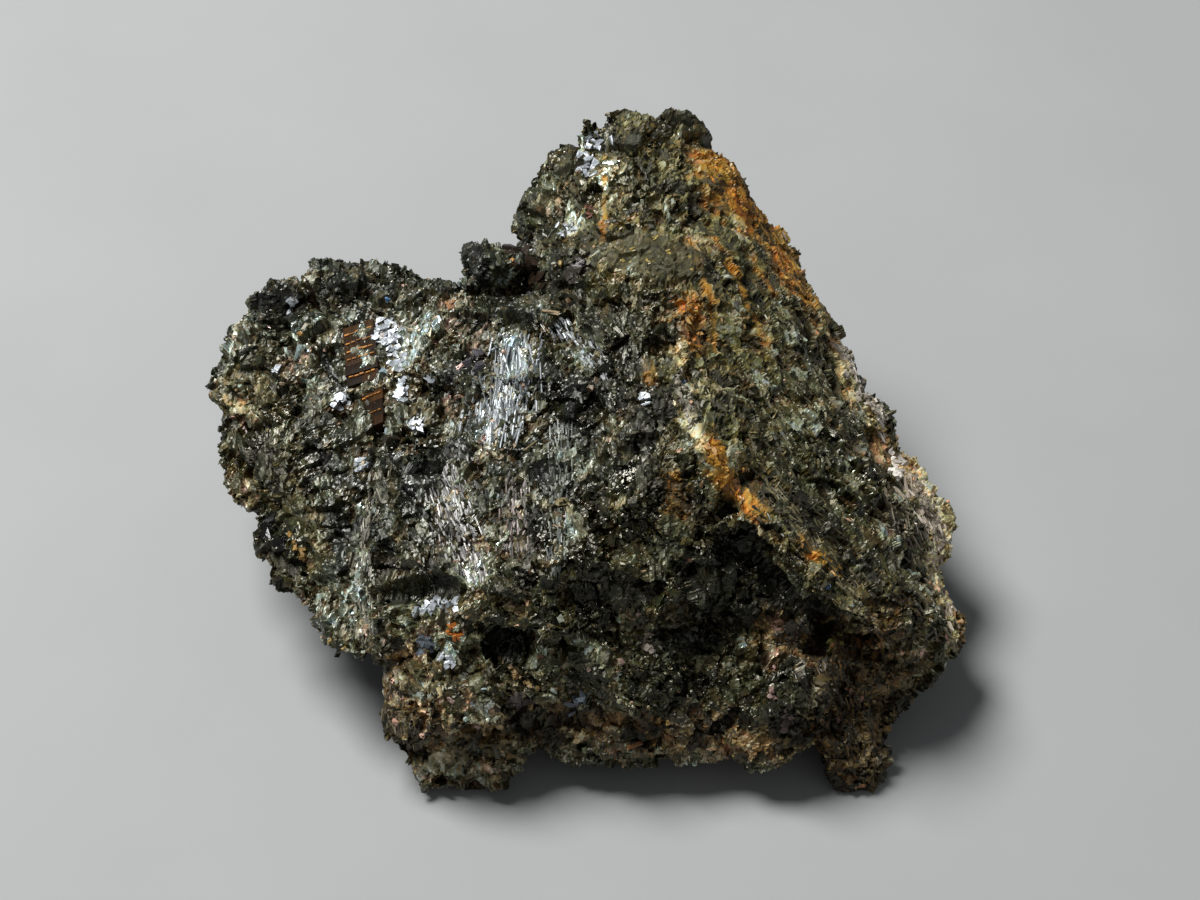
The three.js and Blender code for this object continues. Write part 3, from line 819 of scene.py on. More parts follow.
def stone_palettes():
    """Colour stops of each kind of ground, from its darkest grain to its palest."""
    c = settings().colours
    return {
        "fresh": [
            (0.0, c.black), (0.3, c.green), (0.52, c.brown), (0.68, c.grey), (0.86, c.pale),
            (0.97, c.silver),
        ],
        "olive": [
            (0.0, c.black), (0.2, c.green), (0.42, c.brown), (0.6, c.olive), (0.84, c.pale),
        ],
        "rust": [
            (0.0, (0.045, 0.03, 0.009)), (0.28, (0.17, 0.09, 0.014)), (0.5, (0.38, 0.175, 0.018)),
            (0.8, c.rust), (1.0, (0.6, 0.4, 0.12)),
        ],
        "pale": [
            (0.0, c.brown), (0.2, (0.16, 0.13, 0.085)), (0.42, c.tan), (0.65, (0.62, 0.55, 0.46)),
            (0.9, (0.72, 0.67, 0.6)),
        ],
        "reddish": [
            (0.0, c.black), (0.28, (0.022, 0.014, 0.007)), (0.5, (0.08, 0.046, 0.014)),
            (0.7, (0.2, 0.115, 0.033)), (0.95, c.tan),
        ],
    }


def new_material(name, **inputs):
    """A material with its node tree and its shader, whose plain inputs are set."""
    material = bpy.data.materials.new(name)
    material.use_nodes = True
    shader = material.node_tree.nodes["Principled BSDF"]
    for key, value in inputs.items():
        shader.inputs[key].default_value = value
    return material, material.node_tree, shader


def feed(tree, shader, sockets):
    """Links sockets to the shader's inputs."""
    for key, socket in sockets.items():
        tree.links.new(socket, shader.inputs[key])


def attribute(tree, name, output="Fac"):
    """A named attribute inside a material."""
    return add(tree, "ShaderNodeAttribute", attribute_name=name).outputs[output]


def bumped(tree, height, strength, distance, **inputs):
    """A normal that follows the slope of a height."""
    inputs = {"Height": height, "Strength": strength, "Distance": distance, **inputs}
    return add(tree, "ShaderNodeBump", inputs).outputs[0]


def cloud(tree, place, size, detail=2.0):
    """Soft noise round 0, from about -0.5 to 0.5."""
    soft = noise(tree, place, 1.0 / size, detail)[0]
    return calc(tree, "MULTIPLY", calc(tree, "SUBTRACT", soft, 0.5), 1.6)


def clouded(tree, place, size, amount, value, detail=2.0):
    """A value with soft noise added to it."""
    return calc(tree, "MULTIPLY_ADD", cloud(tree, place, size, detail), amount, value)


def patchy(tree, zone, place):
    """A zone's strength broken up so that it has no smooth edge."""
    return ramped(
        tree, clouded(tree, place, 0.6 * MM, 0.9, attribute(tree, zone), 3.0), 0.25, 0.75
    )


def patched_tone(tree, place, tone):
    """A grain's tone, moved by the paler or darker cluster that it lies in, and by painted shade in
    the hollows and on faces turned from the light.
    """
    tone = clouded(tree, place, 1.3 * MM, 0.42, tone)
    tone = calc(tree, "MULTIPLY_ADD", attribute(tree, "shade"), 0.34, tone)
    return calc(tree, "ADD", tone, settings().skin.tone, clamp=True)


def film_colour(tree, place):
    """A smooth film with yellow dots in it."""
    film = settings().colours.film
    cells = voronoi(tree, place, 1.0 / (0.5 * MM))
    near_middle = ramped(tree, cells["Distance"], 0.19, 0.1)
    chosen = ramped(tree, split(tree, cells["Color"])[0], 0.4, 0.9)
    dark, light = ((*(part * share for part in film), 1) for share in (0.35, 1.35))
    mottle = ramped(tree, cloud(tree, place, 0.25 * MM, 4.0), -0.25, 0.25)
    dot = calc(tree, "MULTIPLY", near_middle, chosen)
    return blend(tree, dot, blend(tree, mottle, dark, light), DOT_YELLOW)


def stone_material(name, grain_of, roughness, normal_of):
    """The stone's finish. grain_of gives a grain's tone, sparkle and tint."""
    material, tree, shader = new_material(name, IOR=AMPHIBOLE_IOR)
    place = add(tree, "ShaderNodeTexCoord").outputs["Object"]
    own_tone, sparkle, tint = grain_of(tree, place)
    tone = patched_tone(tree, place, own_tone)
    palettes = stone_palettes()
    colour = ramp(tree, tone, palettes["fresh"])
    weathered = 0.0
    for zone, _ in ZONES:
        strength = patchy(tree, zone, place)
        colour = blend(tree, strength, colour, ramp(tree, tone, palettes[zone]))
        weathered = calc(tree, "MAXIMUM", weathered, strength)
    warm = clouded(tree, place, 1.0 * MM, 0.5, attribute(tree, "warm"))
    warm = calc(tree, "MULTIPLY", ramped(tree, warm, 0.0, 0.8), ramped(tree, tone, 1.1, 0.35))
    ground = blend(tree, warm, WHITE, (*settings().colours.warmth, 1))
    tinted = vector_calc(tree, "MULTIPLY", colour, ramp(tree, tint, TINTS))
    tinted = vector_calc(tree, "MULTIPLY", tinted, ground)
    film = clouded(tree, place, 0.5 * MM, 0.8, attribute(tree, "film"), 3.0)
    film = calc(tree, "MULTIPLY", ramped(tree, film, 0.1, 0.9), 0.78)
    bare = calc(tree, "SUBTRACT", 1.0, film)
    fresh = calc(tree, "MULTIPLY", calc(tree, "SUBTRACT", 1.0, weathered), bare)
    rough = ramped(tree, sparkle, 0.0, 1.0)
    rough = calc(tree, "MULTIPLY_ADD", rough, roughness[1] - roughness[0], roughness[0])
    dull = calc(tree, "MULTIPLY", calc(tree, "MAXIMUM", weathered, film), 0.25)
    metal = calc(tree, "MULTIPLY", ramped(tree, tone, 0.86, 0.97), fresh)
    feed(tree, shader, {
        "Base Color": blend(tree, film, tinted, film_colour(tree, place)),
        "Specular Tint": blend(tree, warm, COLD_GLARE, WARM_GLARE),
        "Specular IOR Level": calc(tree, "MULTIPLY_ADD", film, -0.35, 0.5),
        "Roughness": calc(tree, "ADD", rough, dull, clamp=True),
        "Metallic": calc(tree, "MULTIPLY", metal, 0.75),
        "Normal": normal_of(tree, place),
    })
    return material


def bundled(tree, place, streak, size, slimness):
    """Places squeezed along the direction of the bundle of fibres that they belong to."""
    draw = centred(tree, voronoi(tree, place, 1.0 / size)["Color"])
    pull = vector_calc(tree, "SCALE", streak, BUNDLE_PULL)
    along = vector_calc(tree, "NORMALIZE", vector_calc(tree, "ADD", draw, pull))
    reach = vector_calc(tree, "DOT_PRODUCT", place, along)
    squeeze = calc(tree, "MULTIPLY", reach, 1.0 / slimness - 1.0)
    return vector_calc(tree, "ADD", place, vector_calc(tree, "SCALE", along, squeeze))


def wavered(tree, place, size, reach):
    """Places pushed about a little, so that no grain has a straight edge."""
    push = centred(tree, noise(tree, place, 1.0 / size, 2.0)["Color"])
    return vector_calc(tree, "ADD", place, vector_calc(tree, "SCALE", push, reach))


def skin_cells(tree, place):
    """The crystal, the grain, the speck and the fibre that a point of the skin belongs to."""
    loose = wavered(tree, place, 0.4 * MM, 0.2 * MM)
    fibrous = bundled(tree, loose, attribute(tree, "streak", "Vector"), 0.8 * MM, 4.0)
    fibre = centred(tree, voronoi(tree, fibrous, 1.0 / (0.09 * MM))["Color"])
    return [attribute(tree, level, "Vector") for level in LEVELS] + [fibre]


def skin_grain(tree, place):
    """Tone, sparkle and tint of the crystal that a point of the skin belongs to."""
    traits = [0.5, 0.5, 0.5]
    for draw, share in zip(skin_cells(tree, place), TONE_SHARES):
        parts = split(tree, draw)
        traits = [
            calc(tree, "MULTIPLY_ADD", part, share, trait) for part, trait in zip(parts, traits)
        ]
    tone, sparkle, tint = traits
    return calc(tree, "MULTIPLY_ADD", attribute(tree, "silver"), 0.3, tone), sparkle, tint


def skin_faces(tree, place):
    """Each small crystal's own leaning face, with fine cleavage steps over it."""
    lean = (0.0, 0.0, 0.0)
    for draw, share in zip(skin_cells(tree, place), LEAN_SHARES):
        lean = vector_calc(tree, "ADD", lean, vector_calc(tree, "SCALE", draw, share))
    lean = vector_calc(tree, "SCALE", lean, settings().skin.glint_tilt)
    lean = vector_calc(tree, "SCALE", lean, calc(tree, "SUBTRACT", 1.0, attribute(tree, "smooth")))
    plain = add(tree, "ShaderNodeNewGeometry").outputs["Normal"]
    turned = vector_calc(tree, "NORMALIZE", vector_calc(tree, "ADD", plain, lean))
    stretch = {"Vector": place, "Scale": (9.0 / MM, 1.2 / MM, 4.0 / MM)}
    steps = noise(tree, add(tree, "ShaderNodeMapping", stretch).outputs[0], 1.0, 4.0)
    return bumped(tree, steps[0], 0.5, 0.02 * MM, Normal=turned)


def loose_grain(tree, place):
    """Tone, sparkle and tint of a single grain."""
    tone = clouded(tree, place, 0.12 * MM, 0.3, attribute(tree, "tone"))
    return tone, attribute(tree, "sparkle"), attribute(tree, "tint")


def grain_faces(tree, place):
    """Cleavage lines that run along a single grain."""
    stretched = vector_calc(tree, "MULTIPLY", attribute(tree, "local", "Vector"), (9.0, 9.0, 1.2))
    shift = vector_calc(tree, "SCALE", (37.0, 11.0, 53.0), attribute(tree, "tone"))
    lines = noise(tree, vector_calc(tree, "ADD", stretched, shift), 1.0, 3.0)
    return bumped(tree, lines[0], 0.6, 0.04 * MM)


def crystal_material():
    """One finish for every single crystal, in its own colour, with cleavage lines along it."""
    material, tree, shader = new_material("single_crystals", IOR=AMPHIBOLE_IOR)
    colour = attribute(tree, "own_colour", "Vector")
    rough, metal, shine = split(tree, attribute(tree, "finish", "Vector"))
    local = vector_calc(tree, "MULTIPLY", attribute(tree, "local", "Vector"), (1.0, 0.16, 1.0))
    lines = noise(tree, vector_calc(tree, "SCALE", local, 14.0 / MM), 1.0, 4.0)[0]
    dim = vector_calc(tree, "SCALE", colour, 0.5)
    feed(tree, shader, {
        "Base Color": blend(tree, ramped(tree, lines, 0.3, 0.62), dim, colour),
        "Roughness": rough,
        "Metallic": metal,
        "Specular IOR Level": shine,
        "Normal": bumped(tree, lines, 0.7, 0.03 * MM),
    })
    return material


# The skin


RELIEF_SIZES = (
    "Coarse size", "Coarse lift", "Fine size", "Fine lift", "Speck size", "Speck lift",
    "Pit share", "Pit depth", "Inset",
)


def grain_relief(tree, place, size, lift, tilt):
    """Height of the broken face of the grain that a place belongs to, with its random numbers."""
    cells = voronoi(tree, place, calc(tree, "DIVIDE", 1.0, size))
    away = vector_calc(tree, "SUBTRACT", place, cells["Position"])
    draw = centred(tree, cells["Color"])
    slope = calc(tree, "MULTIPLY", vector_calc(tree, "DOT_PRODUCT", away, draw), tilt)
    step = calc(tree, "MULTIPLY", calc(tree, "MULTIPLY", split(tree, draw)[2], 2.0), lift)
    return calc(tree, "ADD", slope, step), draw


def skin_form(material):
    """Raises every grain of the skin on its own broken face, and drops the lost ones."""
    tree, size = new_form("skin_relief", RELIEF_SIZES)
    loose = wavered(tree, position(tree), 0.8 * MM, 0.35 * MM)
    squeezed = bundled(tree, loose, read(tree, "streak", "FLOAT_VECTOR"), 1.6 * MM, 2.3)
    reliefs = [
        grain_relief(tree, loose, size["Coarse size"], size["Coarse lift"], 0.5),
        grain_relief(tree, squeezed, size["Fine size"], size["Fine lift"], 0.75),
        grain_relief(tree, squeezed, size["Speck size"], size["Speck lift"], 0.6),
    ]
    geometry = size["Geometry"]
    for level, (_, draw) in zip(LEVELS, reliefs):
        geometry = store(tree, geometry, level, draw, "FACE", "FLOAT_VECTOR")
    chance = calc(tree, "ADD", split(tree, reliefs[1][1])[0], 0.5)
    lost = calc(tree, "LESS_THAN", chance, size["Pit share"])
    height = calc(tree, "MULTIPLY", calc(tree, "MULTIPLY", lost, size["Pit depth"]), -1.0)
    for relief, _ in reliefs:
        height = calc(tree, "ADD", height, relief)
    height = calc(tree, "MULTIPLY", height, calc(tree, "SUBTRACT", 1.0, read(tree, "smooth")))
    height = calc(tree, "SUBTRACT", height, size["Inset"])
    height = calc(tree, "SUBTRACT", height, read(tree, "lowered"))
    normal = tree.nodes.new("GeometryNodeInputNormal").outputs[0]
    raised = moved(tree, geometry, Offset=vector_calc(tree, "SCALE", normal, height))
    close_broken_form(tree, raised, material)
    return tree


def part_form(material):
    """Keeps the faces of the skin between two places across the stone."""
    tree, size = new_form("skin_part", ["Low", "High"])
    across = split(tree, position(tree))[0]
    before = calc(tree, "LESS_THAN", across, size["Low"])
    after = calc(tree, "GREATER_THAN", across, size["High"])
    inputs = {"Geometry": size["Geometry"], "Selection": calc(tree, "MAXIMUM", before, after)}
    kept = add(tree, "GeometryNodeDeleteGeometry", inputs, domain="FACE").outputs[0]
    close_form(tree, kept, material)
    return tree


def merged_copy(name, node):
    """A CAD node's mesh with its loose triangles joined."""
    work = bmesh.new()
    work.from_mesh(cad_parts[node].data)
    bmesh.ops.remove_doubles(work, verts=work.verts, dist=0.001 * MM)
    mesh = bpy.data.meshes.new(name)
    work.to_mesh(mesh)
    work.free()
    return mesh


def remeshed(name, mesh, voxel):
    """An even, closed mesh of the same form."""
    carrier = put(name, mesh)
    modifier = carrier.modifiers.new("Even", "REMESH")
    modifier.mode = "VOXEL"
    modifier.voxel_size = voxel
    graph = bpy.context.evaluated_depsgraph_get()
    even = bpy.data.meshes.new_from_object(carrier.evaluated_get(graph))
    bpy.data.objects.remove(carrier)
    return even


def hollow_depth(points, surface):
    """How deep each point is sunk by the hollows."""
    depth = np.zeros(len(points))
    for hollow in HOLLOWS:
        middle, normal = surface.near(hollow.pixel)
        right = Vector((1, 0, 0))
        axes = (right, normal.cross(right).normalized(), normal)
        offset = points - np.array(middle)
        across, along, through = (
            offset @ np.array(axis) / (half * MM)
            for axis, half in zip(axes, (*hollow.half, HOLLOW_REACH))
        )
        share = np.clip(1.25 - np.sqrt(across**2 + along**2 + through**2), 0, 1)
        depth = np.maximum(depth, share**0.6 * hollow.depth * MM)
    return depth


def standing_height(points, surface):
    """How far each point is raised by the crystals that stand out of the skin."""
    height = np.zeros(len(points))
    for crystal in STANDING_CRYSTALS:
        middle, normal = surface.near(crystal.pixel)
        side = Quaternion(normal, crystal.turn) @ normal.cross(Vector((0, 1, 0))).normalized()
        offset = points - np.array(middle)
        axes = (side, normal.cross(side), normal)
        reach = [
            np.abs(offset @ np.array(axis)) / (size * MM) for axis, size in zip(axes, crystal.size)
        ]
        share = np.clip((1 - np.max(reach, axis=0)) * 5, 0, 1)
        height = np.maximum(height, share * crystal.height * MM)
    return height


def write_zones(mesh, surface):
    """Stores where the stone is rusty, olive, pale, silvery, smooth, hollow and streaky, and how
    much paler or darker it is, painted shade in the hollows included.
    """
    points, normals = mesh_points(mesh), mesh_normals(mesh)

    def strength(seams):
        return seam_strength(points, seams, surface)

    hollow, standing = hollow_depth(points, surface), standing_height(points, surface)
    raised = np.clip(standing / (0.25 * MM), 0, 1)
    # Painted shade: each hollow darkens the skin by its depth, on top of the dark places
    dark = strength(DARK_GRAINS_AND_PAINTED_SHADE) + hollow / (0.5 * MM)
    film = strength(FILM_PATCHES)
    calm = np.max([film * 1.4, strength(RUST_SEAMS) * 0.5, raised * 0.45], axis=0)
    flank = np.clip((normals @ np.array(FLANK_NORMAL) - 0.5) / 0.3, 0, 1)
    numbers = {
        **{zone: strength(seams) for zone, seams in ZONES},
        "silver": strength(SILVER_SEAMS),
        "shade": strength(PALE_CLUSTERS) - dark - 0.45 * raised,
        "warm": np.clip(strength(WARM_GROUNDS) * 1.8, 0, 1),
        "film": np.clip(film * 1.6, 0, 0.85),
        "smooth": np.clip(calm, 0, 0.5),
        "lowered": hollow - standing,
        "flank": flank,
    }
    for name, values in numbers.items():
        write_number(mesh, name, values)
    share = flank[:, None]
    streak = share * np.array(FLANK_STREAK) + (1 - share) * np.array(SHOULDER_STREAK)
    write_vector(mesh, "streak", streak)


class NUUMMITE_OT_skin(bpy.types.Operator):
    """Makes the stone's fine skin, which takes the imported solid's place"""

    bl_idname = "nuummite.skin"
    bl_label = "Stone skin"

    def execute(self, context):
        skin_sizes = settings().skin
        even = remeshed("even", merged_copy("merged", ROCK), skin_sizes.voxel)
        carrier = bpy.data.objects.new("carrier", even)
        write_zones(even, Surface(carrier))
        material = stone_material("raw_nuummite", skin_grain, (0.15, 0.62), skin_faces)
        sizes = {
            name: getattr(skin_sizes, name.lower().replace(" ", "_")) for name in RELIEF_SIZES
        }
        skin = grow(SKIN, carrier, skin_form(material), sizes)
        bpy.data.objects.remove(carrier)
        across = mesh_points(skin.data)[:, 0]
        cuts = np.quantile(across, np.linspace(0, 1, skin_sizes.pieces + 1))
        cuts[0], cuts[-1] = -1.0, 1.0
        tree = part_form(material)
        for index, (low, high) in enumerate(zip(cuts, cuts[1:])):
            piece = grow(f"{SKIN}_{index + 1}", skin, tree, {"Low": low, "High": high})
            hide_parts(ROCK)
            settle(piece)
        return {"FINISHED"}


# Grains and prisms


# How much a loose grain follows the streak of the stone round it
GRAIN_PULL = 0.4


def on_fresh_faces(tree):
    """Fewer grains on the flank."""
    return calc(tree, "SUBTRACT", 1.0, calc(tree, "MULTIPLY", read(tree, "flank"), 0.7))


# Kinds of loose grain: their share of the mean density, width and length, how far they lie along
# the skin, how deep they sink in it as a share of their width, and what thins them out
GrainKind = namedtuple("GrainKind", "name shape share width length flatness sink thinned")
GRAIN_KINDS = [
    GrainKind("small_grains", "lump", 0.37, 0.95, 0.74, 0.6, 0.3, None),
    GrainKind("coarse_crystals", "prism", 0.06, 1.5, 1.0, 0.7, 0.4, on_fresh_faces),
]


def base_shape(tree, shape):
    """One unbroken grain of unit size: a six-sided prism or a rounded lump."""
    if shape == "prism":
        sizes = {"Vertices": 6, "Radius": 0.5, "Depth": 1.0}
        return add(tree, "GeometryNodeMeshCylinder", sizes).outputs["Mesh"]
    return add(tree, "GeometryNodeMeshIcoSphere", {"Radius": 0.5, "Subdivisions": 1}).outputs[0]


def grain_turn(tree, normal, seed, flatness):
    """How each grain is turned: roughly along the streak and the skin, and spun at random."""
    spread = draw_vector(tree, seed + 3)
    streak = vector_calc(tree, "SCALE", read(tree, "streak", "FLOAT_VECTOR"), GRAIN_PULL)
    axis = vector_calc(tree, "ADD", streak, spread)
    upright = vector_calc(tree, "DOT_PRODUCT", axis, normal)
    laid = vector_calc(tree, "SCALE", normal, calc(tree, "MULTIPLY", upright, -flatness))
    inputs = {"Factor": 1.0, "Vector": vector_calc(tree, "ADD", axis, laid)}
    leaning = add(tree, "FunctionNodeAlignRotationToVector", inputs, axis="Z").outputs[0]
    inputs = {"Axis": (0, 0, 1), "Angle": draw_number(tree, 0.0, math.tau, seed + 4)}
    spin = add(tree, "FunctionNodeAxisAngleToRotation", inputs).outputs[0]
    inputs = {"Rotation": leaning, "Rotate By": spin}
    return add(tree, "FunctionNodeRotateRotation", inputs, rotation_space="LOCAL").outputs[0]


def grain_form(kind, material, seed):
    """Strews grains over the skin, each with its own size, lean and tone, broken at its corners."""
    tree, size = new_form(kind.name, ["Density", "Width", "Length"])
    density = size["Density"]
    if kind.thinned:
        density = calc(tree, "MULTIPLY", density, kind.thinned(tree))
    off_film = calc(tree, "SUBTRACT", 1.0, read(tree, "film"))
    density = calc(tree, "MULTIPLY", density, off_film)
    inputs = {"Mesh": size["Geometry"], "Density": density, "Seed": seed}
    strewn = add(tree, "GeometryNodeDistributePointsOnFaces", inputs).outputs
    points, normal = strewn["Points"], strewn["Normal"]
    for offset, trait in enumerate(("tone", "sparkle", "tint")):
        points = store(tree, points, trait, draw_number(tree, 0.0, 1.0, seed + 10 + offset))
    turned = grain_turn(tree, normal, seed, kind.flatness)
    width = calc(tree, "MULTIPLY", size["Width"], draw_number(tree, 0.5, 1.4, seed + 5))
    depth = calc(tree, "MULTIPLY", width, draw_number(tree, 0.45, 0.9, seed + 6))
    chance = draw_number(tree, 0.0, 1.0, seed + 7)
    stretch = calc(tree, "MULTIPLY_ADD", calc(tree, "MULTIPLY", chance, chance), 1.4, 0.5)
    length = calc(tree, "MULTIPLY", size["Length"], stretch)
    scale = add(tree, "ShaderNodeCombineXYZ", {0: width, 1: depth, 2: length}).outputs[0]
    sunk = vector_calc(tree, "SCALE", normal, calc(tree, "MULTIPLY", width, -kind.sink))
    points = store(tree, moved(tree, points, Offset=sunk), "girth", width)
    block = base_shape(tree, kind.shape)
    block = store(tree, block, "local", position(tree), kind="FLOAT_VECTOR")
    inputs = {"Points": points, "Instance": block, "Rotation": turned, "Scale": scale}
    grains = add(tree, "GeometryNodeInstanceOnPoints", inputs).outputs[0]
    real = add(tree, "GeometryNodeRealizeInstances", {0: grains}).outputs[0]
    chip = calc(tree, "MULTIPLY", read(tree, "girth"), 0.2)
    chipped = vector_calc(tree, "SCALE", draw_vector(tree, seed + 8), chip)
    close_broken_form(tree, moved(tree, real, Offset=chipped), material)
    return tree


class NUUMMITE_OT_grains(bpy.types.Operator):
    """Strews small grains and coarser prisms over the skin"""

    bl_idname = "nuummite.grains"
    bl_label = "Grains"

    def execute(self, context):
        grains = settings().grains
        material = stone_material("loose_grains", loose_grain, (0.12, 0.55), grain_faces)
        for index, kind in enumerate(GRAIN_KINDS):
            tree = grain_form(kind, material, grains.seed + 20 * index)
            sizes = {
                "Density": grains.density * kind.share / MM**2,
                "Width": grains.width * kind.width,
                "Length": grains.length * kind.length,
            }
            settle(grow(kind.name, bpy.data.objects[SKIN], tree, sizes))
        return {"FINISHED"}


# Single crystals


# A crystal's colour, roughness, metallic share and strength of glare
Look = namedtuple("Look", "colour rough metal shine", defaults=[0.0, 0.5])


class CrystalMesh:
    """Gathers single crystals, each a slab with its own look, into one piece."""

    def __init__(self):
        self.points, self.faces = [], []
        self.traits = {"local": [], "own_colour": [], "finish": []}

    def slab(self, outline, up, depth, look, along):
        """A slab under an outline, its top bulging a little."""
        middle = sum(outline, Vector()) / len(outline)
        turned = [(a - middle).cross(b - middle) for a, b in zip(outline, outline[1:])]
        if sum(turned, Vector()).dot(up) < 0:
            outline = outline[::-1]
        along = along.normalized()
        across = along.cross(up).normalized()
        start, count = len(self.points), len(outline)
        foot = [middle + (corner - middle) * 1.06 - up * depth for corner in outline]
        self.points += [*outline, *foot, middle + up * depth * 0.08]
        crown = start + 2 * count
        for this in range(start, start + count):
            that = start + (this - start + 1) % count
            self.faces.append((this, that, crown))
            self.faces.append((that, this, count + this, count + that))
        self.faces.append(tuple(range(crown - 1, start + count - 1, -1)))
        for point in self.points[start:]:
            offset = point - middle
            self.traits["local"].append((offset.dot(across), offset.dot(along), offset.dot(up)))
            self.traits["own_colour"].append(tuple(look.colour))
            self.traits["finish"].append((look.rough, look.metal, look.shine))

    def piece(self, name, material):
        """The finished piece, with nothing below what the stone lies on."""
        mesh = bpy.data.meshes.new(name)
        points = [(point.x, point.y, max(point.z, 0.0)) for point in self.points]
        mesh.from_pydata(points, [], self.faces)
        for trait, values in self.traits.items():
            write_vector(mesh, trait, np.array(values))
        mesh.materials.append(material)
        settle(put(name, mesh))


def lath_outline(start, end, up, width, draw):
    """The outline of a slim lath from start to end, with slanting broken ends."""
    along = end - start
    across = up.cross(along).normalized() * width / 2
    slant = [along * draw.uniform(0.0, 0.14) for _ in range(4)]
    return [
        start - across + slant[0],
        start + along * 0.03,
        start + across + slant[1],
        end + across * 0.8 - slant[2],
        end - along * 0.02,
        end - across * 0.8 - slant[3],
    ]


def covers(corners, pixel):
    """Whether a pixel lies between the corners."""
    crossed = 0
    for (x0, y0), (x1, y1) in zip(corners, corners[1:] + corners[:1]):
        if (y0 > pixel[1]) != (y1 > pixel[1]):
            crossed += pixel[0] < x0 + (pixel[1] - y0) / (y1 - y0) * (x1 - x0)
    return crossed % 2 == 1


def pixel_area(corners):
    """Area between corners in the photograph, in pixels."""
    sides = zip(corners, corners[1:] + corners[:1])
    return abs(sum(x0 * y1 - x1 * y0 for (x0, y0), (x1, y1) in sides)) / 2


def shaken(up, amount, draw):
    """A direction turned a little at random."""
    return (up + Vector(draw.normal(size=3)) * amount).normalized()


def lay_plates(crystals, surface, corners, look, size, draw, lean=0.0, jitter=0.13, highlight_fade=0.0):
    """Covers a patch of the skin with small overlapping crystal faces of one kind.

    lean is how far they turn towards where they mirror the key light into the camera, jitter
    how far each turns away from its neighbours, and fade how much darker they are painted towards
    the rim, a painted fall-off of their highlight.
    """
    eye = camera_place()[0]
    low, high = np.min(corners, axis=0), np.max(corners, axis=0)
    seen_size = size / (pixel_size() * settings().studio.distance)
    middle = np.mean(corners, axis=0)
    reach = np.linalg.norm(np.array(corners) - middle, axis=1).max()
    for _ in range(max(2, round(PLATE_LAYERS * pixel_area(corners) / seen_size**2))):
        pixel = draw.uniform(low, high)
        while not covers(corners, pixel):
            pixel = draw.uniform(low, high)
        point, _ = surface.near(pixel)
        mirror = ((eye - point).normalized() + KEY_DIRECTION.normalized()).normalized()
        plain = surface.mean_normal(point, PLATE_REACH * MM)
        up = shaken(plain.lerp(mirror, lean), jitter, draw)
        side = up.orthogonal().normalized()
        side.rotate(Quaternion(up, draw.uniform(0, math.tau)))
        slim = draw.uniform(0.35, 0.9)
        outline = []
        for corner in range(PLATE_CORNERS):
            angle = math.tau * (corner + draw.uniform(-0.3, 0.3)) / PLATE_CORNERS
            spoke = side * math.cos(angle) + up.cross(side) * math.sin(angle) * slim
            spoke = spoke * size * draw.uniform(0.32, 0.82)
            outline.append(point + up * PLATE_LIFT * MM + spoke)
        # Painted highlight fall-off: a face is painted darker the nearer it lies to the patch's rim
        tone = draw.uniform(0.45, 1.1) * (1 - highlight_fade * np.linalg.norm(pixel - middle) / reach)
        own = look._replace(colour=Vector(look.colour) * tone)
        crystals.slab(outline, up, PLATE_THICKNESS * size, own, side)


def lay_fibres(crystals, surface, sheaf, draw):
    """Lays the fibres of one sheaf along its line on the skin."""
    path = [Vector(point) for point in sheaf.path]
    for _ in range(sheaf.count):
        leg = int(draw.integers(len(path) - 1))
        down = (path[leg + 1] - path[leg]).normalized()
        run = Vector(sheaf.run or down).normalized()
        middle = path[leg].lerp(path[leg + 1], draw.uniform(-0.1, 1.1))
        middle += Vector((-down.y, down.x)) * float(draw.normal()) * sheaf.width * 0.28
        half = run + Vector((-run.y, run.x)) * float(draw.normal()) * 0.14
        half *= sheaf.length * draw.uniform(0.2, 0.6)
        start, end = surface.seen(middle - half)[0], surface.seen(middle + half)[0]
        seen_length = half.length * 2 * pixel_size() * settings().studio.distance
        if not start or not end or (end - start).length > STEEPEST * seen_length:
            continue
        middle = (start + end) / 2
        up = surface.mean_normal(middle, FIBRE_REACH * MM)
        along = end - start
        along -= up * along.dot(up)
        middle = surface.tree.find_nearest(middle)[0] + up * draw.uniform(-0.02, 0.04) * MM
        up = shaken(up, 0.2, draw)
        tone = draw.uniform(0, 1) ** 1.6
        colour = Vector(sheaf.dark).lerp(Vector(sheaf.bright), tone)
        look = Look(colour, draw.uniform(0.25, 0.6), sheaf.metal * tone, 0.35)
        start, end = middle - along / 2, middle + along / 2
        outline = lath_outline(start, end, up, draw.uniform(*FIBRE_WIDTHS) * MM, draw)
        crystals.slab(outline, up, FIBRE_DEPTH * MM, look, along)


class NUUMMITE_OT_fibres(bpy.types.Operator):
    """Lays the sheaves of silvery, grey, olive and rusty fibres on the skin"""

    bl_idname = "nuummite.fibres"
    bl_label = "Fibre sheaves"

    def execute(self, context):
        surface = Surface(bpy.data.objects[SKIN])
        draw = np.random.default_rng(settings().grains.seed)
        crystals = CrystalMesh()
        for sheaf in FIBRE_SHEAVES:
            lay_fibres(crystals, surface, sheaf, draw)
        crystals.piece("fibre_sheaves", crystal_material())
        return {"FINISHED"}


